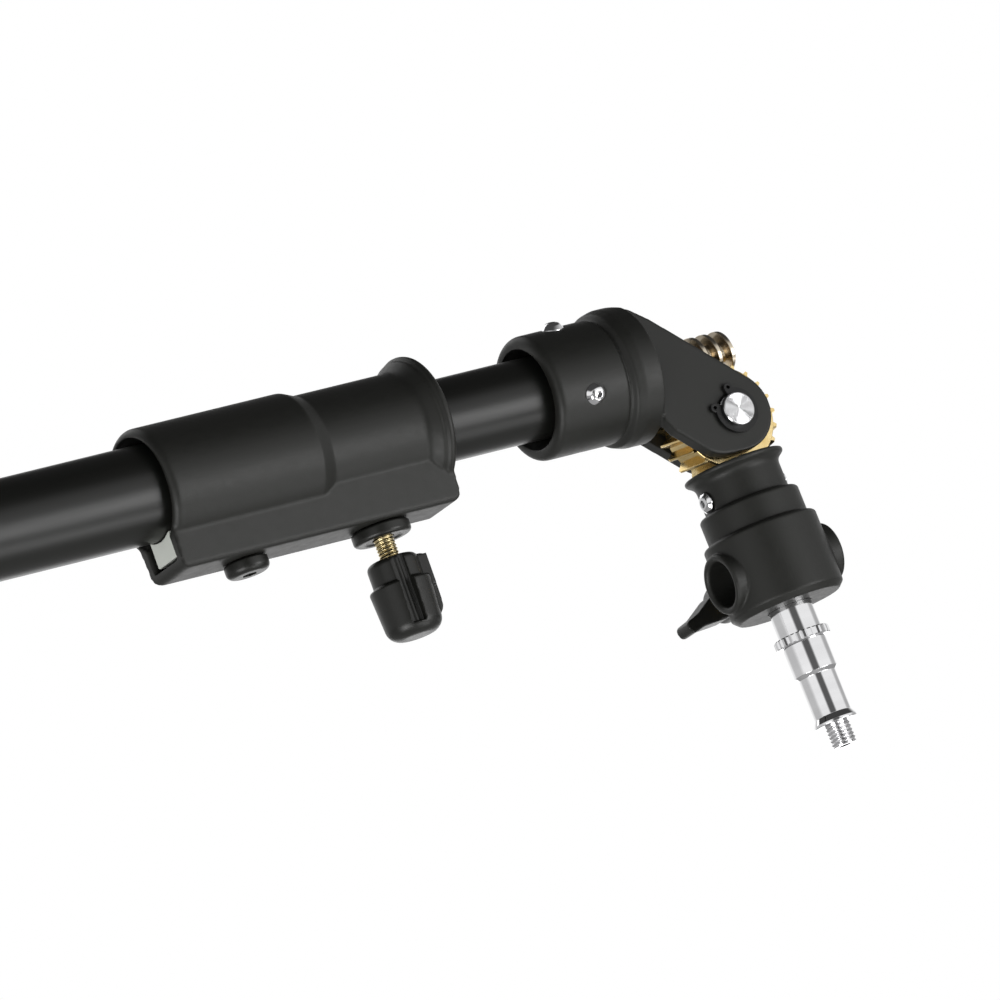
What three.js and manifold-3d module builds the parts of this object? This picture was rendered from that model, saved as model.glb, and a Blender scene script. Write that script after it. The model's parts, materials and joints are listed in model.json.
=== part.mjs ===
// Overhead boom arm: a telescoping boom whose spigot head tilts on a worm wheel.
// Millimetres, +Z up. The boom's axis is the X axis and its head is at the +X end.
// The origin is on that axis, where the stand's clamp grips the outer tube.
import * as THREE from 'three';
import { mergeVertices } from 'three/addons/utils/BufferGeometryUtils.js';
import Module from 'manifold-3d';

const wasm = await Module();
wasm.setup();

// Fits
const gap = 0.3;
const overrun = 2;

// Facets round a circle
const fineFacets = 32;
const midFacets = 20;
const smallFacets = 10;
const filletSteps = 2;
const toothSteps = 3;

// Driving dimensions along the boom
const stand = { toRearEnd: 150, toCollar: 200.8 };
const extension = 45.3;

const outerTube = { radius: 17.5, wall: 2, insideCollar: 64 };
const innerTube = { radius: 15, wall: 2, pastStand: 75 };

const collar = {
  length: 115.3,
  rearRadius: 23.3,
  frontRadius: 21.1,
  lipRadius: 25.6,
  lipWidth: 8.6,
  lipEdge: 1.3,
  rearLength: 60.9,
  rampLength: 7.6,
  edgeRadius: 3,
  keelTopHalfWidth: 16.6,
  keelHalfWidth: 12.5,
  keelDepth: 31.4,
  keelEdge: 2.6,
  noseLength: 2.6,
  noseHeight: 2.6,
  floor: 4.1,
  cavityHalfWidth: 9.3,
  cavityFrontWall: 6,
};
// The concave rise to the lip: shares of its rise and of its width
const lipRiseShares = [
  [0.15, 0.35],
  [0.5, 0.68],
];
const fixingScrew = { x: 30.7, headRadius: 8.1, headHeight: 5.2, shankRadius: 4, socketRadius: 2.6 };
const fixingPad = { start: 1.2, end: 60 };
const insert = { x: 86.4, flangeRadius: 10.75, flangeHeight: 4.7, shankRadius: 6.5, crown: 2.2 };
const shoe = { length: 43.6, play: 4.6 };
const frontBush = { clearOfTube: 11 };

const stud = { radius: 3.75, intoKnob: 18 };
const knob = {
  below: 12.4,
  height: 29.2,
  collarRadius: 9.4,
  collarHeight: 9.2,
  collarEdge: 2.4,
  drumRadius: 11.4,
  crown: 3.6,
  taper: 0.6,
  wingDrop: 3.8,
  wingReach: 12.8,
  wingHalfThickness: 4.6,
  padLength: 12,
  padStart: 5.6,
  padRise: 1.2,
  grooveStart: 0.4,
  grooveWidth: 3,
  grooveDepth: 3,
};

const glideRing = { flange: 4, plug: 12, bore: 8.4 };
const sleeve = {
  length: 42.6,
  radius: 22.7,
  baseRadius: 25,
  baseStart: 30.1,
  flare: 5.3,
  edgeRadius: 3,
  frontWall: 6.2,
};
const sleeveScrew = { x: 15.3, headRadius: 3.75, headHeight: 2, shankRadius: 2, count: 4 };
const sleeveScrewTurn = 21;
const ear = { radius: 14.6, outerFace: 15.5, thickness: 5.5, lowerReach: 19.2, heel: 16.5, gusset: 5 };
const earSlope = 43.4;
const pin = {
  fromBase: 28.3,
  below: 25,
  radius: 6.2,
  pastEar: 3.5,
  grooveRadius: 5.4,
  chamfer: 0.8,
};
const ring = { thickness: 1.2, radius: 8.4, lugRadius: 1.7, lugReach: 8.7, eyeRadius: 0.7 };
const ringGapAngle = 128;
const ringHalfGap = 24;
const washer = { thickness: 0.7, radius: 10.4 };

const worm = {
  radius: 7.7,
  rootRadius: 4,
  behindPin: 12.3,
  beyondPin: 14.7,
  crestWidth: 1.5,
  baseWidth: 3,
  shaftRadius: 5,
  shoulderRadius: 6.4,
  shaftBehindWall: 16,
  pitchRadius: 6,
};
const wheel = {
  teeth: 22,
  tipRadius: 20.6,
  rootRadius: 16.9,
  tipThickness: 1.3,
  rootThickness: 2.9,
  toothHalfWidth: 8.2,
  hubRadius: 11,
  stemRadius: 9.5,
  stemDepth: 33,
};
const shaftBush = { radius: 8.6 };
const driveTube = { radius: 7, pastStand: 60 };
const drivePin = { radius: 1.5, fromEnd: 6 };
const driveRod = { acrossFlats: 8, reach: 290 };
const rearPlug = { flange: 4.2, depth: 17, edge: 2 };
const rearBearing = { radius: 7.4, bore: 5.1 };
const crank = { hubRadius: 9, hubLength: 15, armThickness: 7, armHalfWidth: 6.4, throw: 40, endRadius: 7.6 };
const crankBolt = { radius: 2, headRadius: 4.5, headHeight: 3 };
const grip = { radius: 9, length: 34, waist: 7.6, edge: 2, axleRadius: 3, headRadius: 5, headHeight: 2.4 };

// Head: how far it leans forward at rest, in degrees
const headTilt = 2.5;

// Spigot socket: radii, and levels below the pivot pin
const socket = {
  flangeTop: 16.1,
  flangeRadius: 18.7,
  flangeEdge: 1.2,
  flangeUnder: 3.6,
  neckTop: 21.2,
  neckRadius: 15.8,
  ringTop: 30.8,
  ringRadius: 18.8,
  bodyTop: 41.3,
  bodyRadius: 21.4,
  bodyBottom: 71,
  step: 0.6,
  shoulder: 1.6,
  bottomEdge: 2.2,
  crossLevel: 56.2,
  crossHalfLength: 23.5,
  crossRadius: 11,
  crossEdge: 0.8,
  mouthFlare: 1,
  spigotBoreTop: 46.6,
  lockBossRadius: 8.6,
  lockBossReach: 26,
};
const neckScrew = { level: 26.4, headRadius: 4, headHeight: 1.7, shankRadius: 2, start: 2 };
const receiverRadius = 8;
const lock = {
  studRadius: 3,
  insertRadius: 5.2,
  padLength: 4,
  padRadius: 3,
  travel: 3,
  hubStart: 31,
  hubRadius: 7.4,
  hubLength: 13,
  hubEdge: 2,
  wingReach: 23,
  wingRootHalf: 5,
  wingTipHalf: 2.4,
  wingHalfWidth: 4.6,
};
const lockWingTurn = 16.5;

// Spigot levels below the pivot pin
const spigot = {
  top: 47,
  ringTop: 81.5,
  ringBottom: 84.7,
  ringRadius: 10.35,
  knurlDepth: 0.5,
  waistTop: 96.3,
  waistRadius: 6.85,
  waistBevel: 1.2,
  flareTop: 112.8,
  flareRadius: 8,
  flareEdge: 1,
  shoulder: 116,
  threadRadius: 4.75,
  end: 124.5,
  endChamfer: 0.8,
  seatGroove: 0.6,
};
const knurls = 30;

// Places worked out from the sizes above
const collarFront = stand.toCollar + collar.length;
const sleeveRear = collarFront + extension;
const pinX = sleeveRear + sleeve.length + pin.fromBase;
const wallRear = sleeve.length - sleeve.frontWall;
const earInner = ear.outerFace - ear.thickness;
const wheelHalfWidth = earInner - washer.thickness - 2 * gap;
const wheelPitchRadius = pin.below - worm.pitchRadius;
const pitch = (2 * Math.PI * wheelPitchRadius) / wheel.teeth;
const boreRadius = outerTube.radius + gap;
const keelFloorTop = collar.keelDepth - collar.floor;

// Finishes
function finish(color, roughness, metalness) {
  return new THREE.MeshStandardMaterial({ color, roughness, metalness });
}
const blackPaint = finish(0x1d1d1c, 0.55, 0.2);
const blackTube = finish(0x111111, 0.4, 0.3);
const blackPlastic = finish(0x161616, 0.5, 0);
const whiteNylon = finish(0xdfe3dc, 0.6, 0);
const chrome = finish(0xd8d8da, 0.15, 1);
const steel = finish(0xa8a49c, 0.35, 1);
const darkSteel = finish(0x2b2a29, 0.5, 0.8);
const brass = finish(0xd2ab55, 0.35, 1);
const bronze = finish(0xa87a48, 0.4, 1);
const yellowZinc = finish(0xc9a860, 0.3, 1);

// Solids from three.js geometry
function signedVolume(positions, triangles) {
  const a = new THREE.Vector3();
  const b = new THREE.Vector3();
  const c = new THREE.Vector3();
  let sum = 0;
  for (let i = 0; i < triangles.length; i += 3) {
    a.fromArray(positions, 3 * triangles[i]);
    b.fromArray(positions, 3 * triangles[i + 1]);
    c.fromArray(positions, 3 * triangles[i + 2]);
    sum += a.dot(b.cross(c));
  }
  return sum;
}

function solid(geometry) {
  geometry.deleteAttribute('normal');
  geometry.deleteAttribute('uv');
  const welded = mergeVertices(geometry);
  const index = welded.index.array;
  const positions = welded.attributes.position.array;
  const triangles = [];
  for (let i = 0; i < index.length; i += 3) {
    const [a, b, c] = index.slice(i, i + 3);
    if (a !== b && b !== c && c !== a) triangles.push(a, b, c);
  }
  if (signedVolume(positions, triangles) < 0) triangles.reverse();
  const vertProperties = Float32Array.from(positions);
  const triVerts = Uint32Array.from(triangles);
  return new wasm.Manifold(new wasm.Mesh({ numProp: 3, vertProperties, triVerts }));
}

function geometryOf(body) {
  const { vertProperties, triVerts } = body.getMesh();
  const geometry = new THREE.BufferGeometry();
  geometry.setAttribute('position', new THREE.BufferAttribute(vertProperties, 3));
  geometry.setIndex(new THREE.BufferAttribute(triVerts, 1));
  geometry.computeVertexNormals();
  return geometry;
}

const turnToX = (geometry) => geometry.rotateZ(-Math.PI / 2);
const turnToZ = (geometry) => geometry.rotateX(Math.PI / 2);
const keepY = (geometry) => geometry;

// A turned solid: the outline's points are [radius, place along the axis], and it closes on the axis
// or, where no point is on the axis, on its own first point.
function turned(outline, toAxis, facets = fineFacets) {
  const points = outline.map(([radius, place]) => new THREE.Vector2(radius, place));
  const touchesAxis = outline[0][0] === 0;
  if (!touchesAxis) points.push(points[0].clone());
  return solid(toAxis(new THREE.LatheGeometry(points, facets)));
}

function rod(radius, start, end, toAxis, facets = fineFacets) {
  const outline = [
    [0, start],
    [radius, start],
    [radius, end],
    [0, end],
  ];
  return turned(outline, toAxis, facets);
}

function tubeSolid(outer, inner, start, end, toAxis, facets = fineFacets) {
  const outline = [
    [inner, start],
    [outer, start],
    [outer, end],
    [inner, end],
  ];
  return turned(outline, toAxis, facets);
}

// An outline in the XZ plane, extruded along Y from one side to the other
function plate(shape, yFrom, yTo, curveSegments = midFacets) {
  const depth = yTo - yFrom;
  const geometry = new THREE.ExtrudeGeometry(shape, { depth, bevelEnabled: false, curveSegments });
  return solid(geometry.rotateX(Math.PI / 2).translate(0, yTo, 0));
}

// An outline in the YZ plane, extruded along X
function bar(shape, xFrom, xTo, curveSegments = midFacets) {
  const depth = xTo - xFrom;
  const geometry = new THREE.ExtrudeGeometry(shape, { depth, bevelEnabled: false, curveSegments });
  return solid(geometry.rotateX(Math.PI / 2).rotateZ(Math.PI / 2).translate(xFrom, 0, 0));
}

function block(x0, x1, y0, y1, z0, z1) {
  const geometry = new THREE.BoxGeometry(x1 - x0, y1 - y0, z1 - z0);
  return solid(geometry.translate((x0 + x1) / 2, (y0 + y1) / 2, (z0 + z1) / 2));
}

function polygon(points) {
  return new THREE.Shape(points.map(([x, y]) => new THREE.Vector2(x, y)));
}

function hexagon(acrossFlats) {
  const reach = acrossFlats / Math.sqrt(3);
  const corners = [0, 1, 2, 3, 4, 5].map((k) => {
    const angle = (k * Math.PI) / 3;
    return [reach * Math.cos(angle), reach * Math.sin(angle)];
  });
  return polygon(corners);
}

// Points of a rounded corner of a turned outline, from one angle to another, in degrees
function corner(radius, place, size, fromAngle, toAngle) {
  const points = [];
  for (let k = 0; k <= filletSteps; k += 1) {
    const angle = THREE.MathUtils.degToRad(fromAngle + ((toAngle - fromAngle) * k) / filletSteps);
    points.push([radius + size * Math.cos(angle), place + size * Math.sin(angle)]);
  }
  return points;
}

const boom = new THREE.Group();

function groupAt(parent, x, y, z) {
  const group = new THREE.Group();
  group.position.set(x, y, z);
  parent.add(group);
  return group;
}

function addPiece(group, name, body, material) {
  const mesh = new THREE.Mesh(geometryOf(body), material);
  mesh.name = name;
  group.add(mesh);
  return mesh;
}

// Outer tube, with the rear plug and the bearing of the drive rod
function buildOuterTube() {
  const bore = outerTube.radius - outerTube.wall;
  const rear = -stand.toRearEnd;
  const front = stand.toCollar + outerTube.insideCollar;
  addPiece(boom, 'outer_tube', tubeSolid(outerTube.radius, bore, rear, front, turnToX), blackTube);

  const plugRadius = bore - gap;
  const face = rear - gap;
  const bearingBore = rearBearing.radius + gap;
  const plugStart = face - rearPlug.flange;
  const plugEnd = face + rearPlug.depth;
  const flangeRadius = outerTube.radius - gap;
  const plug = turned(
    [
      [bearingBore, plugStart],
      ...corner(flangeRadius - rearPlug.edge, plugStart + rearPlug.edge, rearPlug.edge, -90, 0),
      [flangeRadius, face],
      [plugRadius, face],
      [plugRadius, plugEnd],
      [bearingBore, plugEnd],
    ],
    turnToX,
  );
  addPiece(boom, 'rear_plug', plug, blackPlastic);
  const bearing = tubeSolid(rearBearing.radius, rearBearing.bore, plugStart, plugEnd, turnToX, midFacets);
  addPiece(boom, 'rear_bearing', bearing, bronze);
}

// Hexagonal drive rod with its crank. The rod runs from the crank into the drive tube.
function buildCrank() {
  const hubFront = -stand.toRearEnd - 2 * gap - rearPlug.flange;
  const hubRear = hubFront - crank.hubLength;
  const rodShape = hexagon(driveRod.acrossFlats);
  const boltHole = rod(crankBolt.radius + gap, hubRear - overrun, hubFront, turnToX, smallFacets);
  const driveBody = bar(rodShape, hubRear + gap, driveRod.reach).subtract(boltHole);
  addPiece(boom, 'drive_rod', driveBody, steel);

  const armFront = hubRear + crank.armThickness;
  const hub = rod(crank.hubRadius, hubRear, hubFront, turnToX, midFacets);
  const end = rod(crank.endRadius, hubRear, armFront, turnToX, midFacets).translate([0, 0, -crank.throw]);
  const arm = block(hubRear, armFront, -crank.armHalfWidth, crank.armHalfWidth, -crank.throw, 0);
  const hexHole = bar(hexagon(driveRod.acrossFlats + 2 * gap), hubRear - overrun, hubFront + overrun);
  const axleHole = rod(grip.axleRadius + gap, hubRear - overrun, armFront + overrun, turnToX, smallFacets);
  const crankBody = hub
    .add(end)
    .add(arm)
    .subtract(hexHole)
    .subtract(axleHole.translate([0, 0, -crank.throw]));
  addPiece(boom, 'crank_arm', crankBody, blackPaint);

  const headFace = hubRear - gap;
  const bolt = turned(
    [
      [0, headFace - crankBolt.headHeight],
      [crankBolt.headRadius - gap, headFace - crankBolt.headHeight],
      [crankBolt.headRadius, headFace - crankBolt.headHeight + gap],
      [crankBolt.headRadius, headFace],
      [crankBolt.radius, headFace],
      [crankBolt.radius, hubFront - gap],
      [0, hubFront - gap],
    ],
    turnToX,
    smallFacets,
  );
  addPiece(boom, 'crank_bolt', bolt, darkSteel);

  const gripGroup = groupAt(boom, hubRear, 0, -crank.throw);
  const gripEnd = -gap - grip.length;
  const gripBore = grip.axleRadius + gap;
  const gripBody = turned(
    [
      [gripBore, gripEnd],
      ...corner(grip.radius - grip.edge, gripEnd + grip.edge, grip.edge, -90, 0),
      [grip.waist, gripEnd / 2],
      [grip.radius, -gap - grip.edge],
      [grip.radius - gap, -gap],
      [gripBore, -gap],
    ],
    turnToX,
    midFacets,
  );
  addPiece(gripGroup, 'crank_grip', gripBody, blackPlastic);
  const axleHead = gripEnd - gap;
  const axle = turned(
    [
      [0, axleHead - grip.headHeight],
      [grip.headRadius - grip.headHeight / 2, axleHead - grip.headHeight],
      [grip.headRadius, axleHead - grip.headHeight / 2],
      [grip.headRadius, axleHead],
      [grip.axleRadius, axleHead],
      [grip.axleRadius, crank.armThickness],
      [0, crank.armThickness],
    ],
    turnToX,
    smallFacets,
  );
  addPiece(gripGroup, 'grip_axle', axle, steel);
}

// Clamp collar: a stepped round body with a front lip, on a hollow keel
function buildCollar() {
  const group = groupAt(boom, stand.toCollar, 0, 0);
  const rampEnd = collar.rearLength + collar.rampLength;
  const lipStart = collar.length - collar.lipWidth;
  const lipRise = collar.lipRadius - collar.frontRadius;
  const riseToLip = lipRiseShares.map(([rise, along]) => [
    collar.frontRadius + rise * lipRise,
    lipStart + along * collar.lipWidth,
  ]);
  const round = turned(
    [
      [0, 0],
      ...corner(collar.rearRadius - collar.edgeRadius, collar.edgeRadius, collar.edgeRadius, -90, 0),
      [collar.rearRadius, collar.rearLength],
      [(collar.rearRadius + collar.frontRadius) / 2, (collar.rearLength + rampEnd) / 2],
      [collar.frontRadius, rampEnd],
      [collar.frontRadius, lipStart],
      ...riseToLip,
      ...corner(collar.lipRadius - collar.lipEdge, collar.length - collar.lipEdge, collar.lipEdge, -50, 90),
      [0, collar.length],
    ],
    turnToX,
  );
  const half = collar.keelHalfWidth;
  const topHalf = collar.keelTopHalfWidth;
  const keelShape = new THREE.Shape();
  keelShape.moveTo(-topHalf, 0);
  keelShape.lineTo(topHalf, 0);
  keelShape.lineTo(half, -collar.keelDepth + collar.keelEdge);
  keelShape.lineTo(half - collar.keelEdge, -collar.keelDepth);
  keelShape.lineTo(-half + collar.keelEdge, -collar.keelDepth);
  keelShape.lineTo(-half, -collar.keelDepth + collar.keelEdge);
  const keel = bar(keelShape, 0, collar.length);
  const noseRise = (collar.noseHeight * overrun) / collar.noseLength;
  const nose = plate(
    polygon([
      [collar.length - collar.noseLength - overrun, -collar.keelDepth - noseRise],
      [collar.length + overrun, -collar.keelDepth - noseRise],
      [collar.length + overrun, -collar.keelDepth + collar.noseHeight + noseRise],
    ]),
    -topHalf,
    topHalf,
  );
  const bore = rod(boreRadius, -overrun, collar.length + overrun, turnToX);
  const cavity = block(
    -overrun,
    collar.length - collar.cavityFrontWall,
    -collar.cavityHalfWidth,
    collar.cavityHalfWidth,
    -keelFloorTop,
    0,
  );
  const under = -collar.keelDepth - overrun;
  const fixingHole = rod(fixingScrew.shankRadius + gap, under, 0, turnToZ, midFacets);
  const insertHole = rod(insert.shankRadius + gap, under, 0, turnToZ, midFacets);
  const body = round
    .add(keel)
    .subtract(nose)
    .subtract(bore)
    .subtract(cavity)
    .subtract(fixingHole.translate([fixingScrew.x, 0, 0]))
    .subtract(insertHole.translate([insert.x, 0, 0]));
  addPiece(group, 'clamp_collar', body, blackPaint);

  buildFixing(group);
  buildFrontBush(group);
  buildClampScrew(group);
}

// A pad that lies in the keel under a tube: flat below, hollow above to the tube's radius
function keelPad(tubeRadius, bottom, start, end) {
  const half = collar.cavityHalfWidth - gap;
  const pad = block(start, end, -half, half, -bottom, -tubeRadius / 2);
  return pad.subtract(rod(tubeRadius + gap, start - overrun, end + overrun, turnToX));
}

// Screw and pad that hold the collar on the outer tube
function buildFixing(group) {
  const padBottom = keelFloorTop - gap;
  const pad = keelPad(outerTube.radius, padBottom, fixingPad.start, fixingPad.end);
  addPiece(group, 'fixing_pad', pad, whiteNylon);
  const head = -collar.keelDepth - gap;
  const headEnd = head - fixingScrew.headHeight;
  const crown = fixingScrew.headHeight / 2;
  const screw = turned(
    [
      [0, headEnd + crown],
      [fixingScrew.socketRadius, headEnd + crown],
      [fixingScrew.socketRadius, headEnd],
      ...corner(fixingScrew.headRadius - crown, headEnd + crown, crown, -90, 0),
      [fixingScrew.headRadius, head],
      [fixingScrew.shankRadius, head],
      [fixingScrew.shankRadius, -padBottom - gap],
      [0, -padBottom - gap],
    ],
    turnToZ,
    midFacets,
  );
  addPiece(group, 'fixing_screw', screw.translate([fixingScrew.x, 0, 0]), blackPlastic);
}

function buildFrontBush(group) {
  const start = outerTube.insideCollar + frontBush.clearOfTube;
  const end = collar.length - gap;
  const half = collar.cavityHalfWidth + gap;
  const ringBody = tubeSolid(outerTube.radius, innerTube.radius + gap, start, end, turnToX);
  const slot = block(start - overrun, end + overrun, -half, half, -boreRadius, 0);
  addPiece(group, 'front_bush', ringBody.subtract(slot), whiteNylon);
}

// Shoe, threaded insert, stud and knob that clamp the inner tube
function buildClampScrew(group) {
  const shoeStart = insert.x - shoe.length / 2;
  const shoeEnd = collar.length - collar.cavityFrontWall - gap;
  const shoeBottom = keelFloorTop - shoe.play;
  const shoeBody = keelPad(innerTube.radius, shoeBottom, shoeStart, shoeEnd);
  addPiece(group, 'clamp_shoe', shoeBody, whiteNylon);

  const at = groupAt(group, insert.x, 0, 0);
  const flangeTop = -collar.keelDepth - gap;
  const flangeEnd = flangeTop - insert.flangeHeight;
  const bore = stud.radius + gap;
  const insertBody = turned(
    [
      [bore, flangeEnd],
      ...corner(insert.flangeRadius - insert.crown, flangeEnd + insert.crown, insert.crown, -90, 0),
      [insert.flangeRadius, flangeTop],
      [insert.shankRadius, flangeTop],
      [insert.shankRadius, -keelFloorTop - gap],
      [bore, -keelFloorTop - gap],
    ],
    turnToZ,
  );
  addPiece(at, 'screw_insert', insertBody, blackPlastic);

  const knobTop = -collar.keelDepth - knob.below;
  const knobEnd = knobTop - knob.height;
  const studEnd = knobTop - stud.intoKnob;
  const studBody = rod(stud.radius, studEnd, -shoeBottom - gap, turnToZ, smallFacets);
  addPiece(at, 'clamp_stud', studBody, yellowZinc);

  const drumTop = knobTop - knob.collarHeight;
  const endRadius = knob.drumRadius - knob.taper;
  const drum = turned(
    [
      [0, knobEnd],
      ...corner(endRadius - knob.crown, knobEnd + knob.crown, knob.crown, -90, 0),
      [knob.drumRadius, drumTop - knob.taper],
      [knob.drumRadius - knob.taper, drumTop],
      [knob.collarRadius, drumTop],
      ...corner(knob.collarRadius - knob.collarEdge, knobTop - knob.collarEdge, knob.collarEdge, 0, 90),
      [0, knobTop],
    ],
    turnToZ,
  );
  const wingTop = knobTop - knob.wingDrop;
  const wingShape = polygon([
    [0, wingTop],
    [0, knobEnd + knob.crown],
    [knob.wingReach - 2 * knob.crown, knobEnd + knob.taper],
    [knob.wingReach - knob.crown / 2, knobEnd + knob.crown],
    [knob.wingReach, knobEnd + 2 * knob.crown],
    [knob.wingReach, wingTop],
  ]);
  const wing = plate(wingShape, -knob.wingHalfThickness, knob.wingHalfThickness);
  const padHalf = knob.wingHalfThickness + knob.padRise;
  const pad = block(knob.padStart, knob.wingReach, -padHalf, padHalf, wingTop - knob.padLength, wingTop);
  const groove = block(
    knob.grooveStart,
    knob.grooveStart + knob.grooveWidth,
    knob.drumRadius - knob.grooveDepth,
    knob.drumRadius + padHalf,
    knobEnd + knob.crown,
    wingTop,
  );
  const studHole = rod(stud.radius + gap, studEnd - gap, knobTop + overrun, turnToZ, smallFacets);
  const knobBody = drum
    .add(wing)
    .add(pad)
    .subtract(groove)
    .subtract(groove.rotate([0, 0, 180]))
    .subtract(studHole);
  addPiece(at, 'clamp_knob', knobBody, blackPlastic);
}

// Inner tube with the glide ring on its rear end
function buildInnerTube(arm) {
  const bore = innerTube.radius - innerTube.wall;
  const rear = -sleeveRear - innerTube.pastStand;
  const front = wallRear - gap;
  addPiece(arm, 'inner_tube', tubeSolid(innerTube.radius, bore, rear, front, turnToX), blackTube);

  const ringRadius = outerTube.radius - outerTube.wall - gap;
  const face = rear - gap;
  const glide = turned(
    [
      [glideRing.bore, face - glideRing.flange],
      [ringRadius, face - glideRing.flange],
      [ringRadius, face],
      [bore - gap, face],
      [bore - gap, face + glideRing.plug],
      [glideRing.bore, face + glideRing.plug],
    ],
    turnToX,
  );
  addPiece(arm, 'glide_ring', glide, whiteNylon);
}

// The pivot pin's place on the yoke
const pinPlace = { x: sleeve.length + pin.fromBase, z: -pin.below };

// A point beside the pivot pin: so far forward along the ears' slope, and so far up across it
function besidePin(along, across) {
  const slope = THREE.MathUtils.degToRad(earSlope);
  const x = pinPlace.x + along * Math.cos(slope) + across * Math.sin(slope);
  const z = pinPlace.z - along * Math.sin(slope) + across * Math.cos(slope);
  return [x, z];
}

// The ears' outline: a sloping top edge, round the pivot pin, and a round heel under the base
function earShape() {
  const slope = THREE.MathUtils.degToRad(earSlope);
  const back = wallRear;
  const root = sleeve.length;
  const alongRoot = (pin.fromBase - ear.lowerReach * Math.sin(slope)) / Math.cos(slope);
  const [, rootZ] = besidePin(-alongRoot, -ear.lowerReach);
  const [heelX, heelZ] = besidePin(ear.heel - alongRoot, -ear.lowerReach);
  const bottom = pinPlace.z - ear.radius;
  const bendX = heelX + (heelZ - bottom) / Math.tan(slope);
  const shape = new THREE.Shape();
  shape.moveTo(back, sleeve.baseRadius);
  shape.lineTo(back, rootZ + ear.gusset);
  shape.lineTo(root - gap, rootZ + gap);
  shape.lineTo(heelX, heelZ);
  shape.quadraticCurveTo(bendX, bottom, pinPlace.x - ear.radius / 3, bottom);
  shape.absarc(pinPlace.x, pinPlace.z, ear.radius, -Math.PI / 2, Math.PI / 2 - slope, false);
  shape.lineTo(...besidePin(-sleeve.length, ear.radius));
  return shape;
}

// Yoke: the sleeve on the inner tube, its stepped base and two ears
function buildYoke(arm) {
  const flareEnd = sleeve.baseStart + sleeve.flare;
  const edge = sleeve.edgeRadius;
  const round = turned(
    [
      [0, 0],
      ...corner(sleeve.radius - edge, edge, edge, -90, 0),
      [sleeve.radius, sleeve.baseStart],
      [(sleeve.radius + sleeve.baseRadius) / 2, sleeve.baseStart + sleeve.flare / 3],
      [sleeve.baseRadius, flareEnd],
      [sleeve.baseRadius, sleeve.length],
      [0, sleeve.length],
    ],
    turnToX,
  );
  const front = sleeve.length + pin.fromBase + ear.radius + overrun;
  const roof = rod(sleeve.baseRadius, 0, front, turnToX);
  const under = block(0, front, -ear.outerFace, ear.outerFace, -front, 0);
  const ears = plate(earShape(), -ear.outerFace, ear.outerFace).intersect(roof.add(under));
  const aboveEars = plate(
    polygon([
      besidePin(-front, ear.radius),
      besidePin(front, ear.radius),
      besidePin(front, front),
      besidePin(-front, front),
    ]),
    -front,
    front,
  );
  const slot = block(sleeve.length, front, -earInner, earInner, -front, front);
  const bore = rod(innerTube.radius + gap, -overrun, wallRear, turnToX);
  const pastBase = sleeve.length + overrun;
  const pastEars = ear.outerFace + overrun;
  const bushHole = rod(shaftBush.radius + gap, wallRear - overrun, pastBase, turnToX, midFacets);
  const pinHole = rod(pin.radius + gap, -pastEars, pastEars, keepY, midFacets);
  const screwHole = rod(sleeveScrew.shankRadius + gap, 0, sleeve.baseRadius + overrun, keepY, smallFacets);
  let body = round
    .add(ears)
    .subtract(aboveEars)
    .subtract(slot)
    .subtract(bore)
    .subtract(bushHole)
    .subtract(pinHole.translate([pinPlace.x, 0, pinPlace.z]));
  for (let k = 0; k < sleeveScrew.count; k += 1) {
    const turn = 180 + sleeveScrewTurn + (360 * k) / sleeveScrew.count;
    body = body.subtract(screwHole.rotate([turn, 0, 0]).translate([sleeveScrew.x, 0, 0]));
  }
  addPiece(arm, 'head_yoke', body, blackPaint);

  const head = sleeve.radius + gap;
  const screw = turned(
    [
      [0, innerTube.radius + gap],
      [sleeveScrew.shankRadius, innerTube.radius + gap],
      [sleeveScrew.shankRadius, head],
      [sleeveScrew.headRadius, head],
      [sleeveScrew.headRadius * Math.SQRT1_2, head + sleeveScrew.headHeight * Math.SQRT1_2],
      [0, head + sleeveScrew.headHeight],
    ],
    keepY,
    smallFacets,
  );
  for (let k = 0; k < sleeveScrew.count; k += 1) {
    const turn = 180 + sleeveScrewTurn + (360 * k) / sleeveScrew.count;
    const placed = screw.rotate([turn, 0, 0]).translate([sleeveScrew.x, 0, 0]);
    addPiece(arm, `sleeve_screw_${k + 1}`, placed, chrome);
  }

  const bushBore = worm.shaftRadius + gap;
  const bush = tubeSolid(shaftBush.radius, bushBore, wallRear + gap, sleeve.length, turnToX, midFacets);
  addPiece(arm, 'shaft_bush', bush, bronze);
}

// A retaining ring with two lugs, in the groove of the pivot pin
function retainingRing() {
  const inner = pin.grooveRadius + gap;
  const half = THREE.MathUtils.degToRad(ringHalfGap);
  const middle = THREE.MathUtils.degToRad(ringGapAngle);
  const shape = new THREE.Shape();
  shape.absarc(0, 0, ring.radius, middle + half, middle - half + 2 * Math.PI, false);
  shape.absarc(0, 0, inner, middle - half, middle + half - 2 * Math.PI, true);
  shape.closePath();
  let body = plate(shape, 0, ring.thickness);
  for (const side of [-1, 1]) {
    const angle = middle + side * (half + ring.lugRadius / ring.lugReach);
    const place = [ring.lugReach * Math.cos(angle), 0, ring.lugReach * Math.sin(angle)];
    const lug = rod(ring.lugRadius, 0, ring.thickness, keepY, smallFacets).translate(place);
    const eye = rod(ring.eyeRadius, -overrun, ring.thickness + overrun, keepY, smallFacets).translate(place);
    body = body.add(lug).subtract(eye);
  }
  return body;
}

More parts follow.
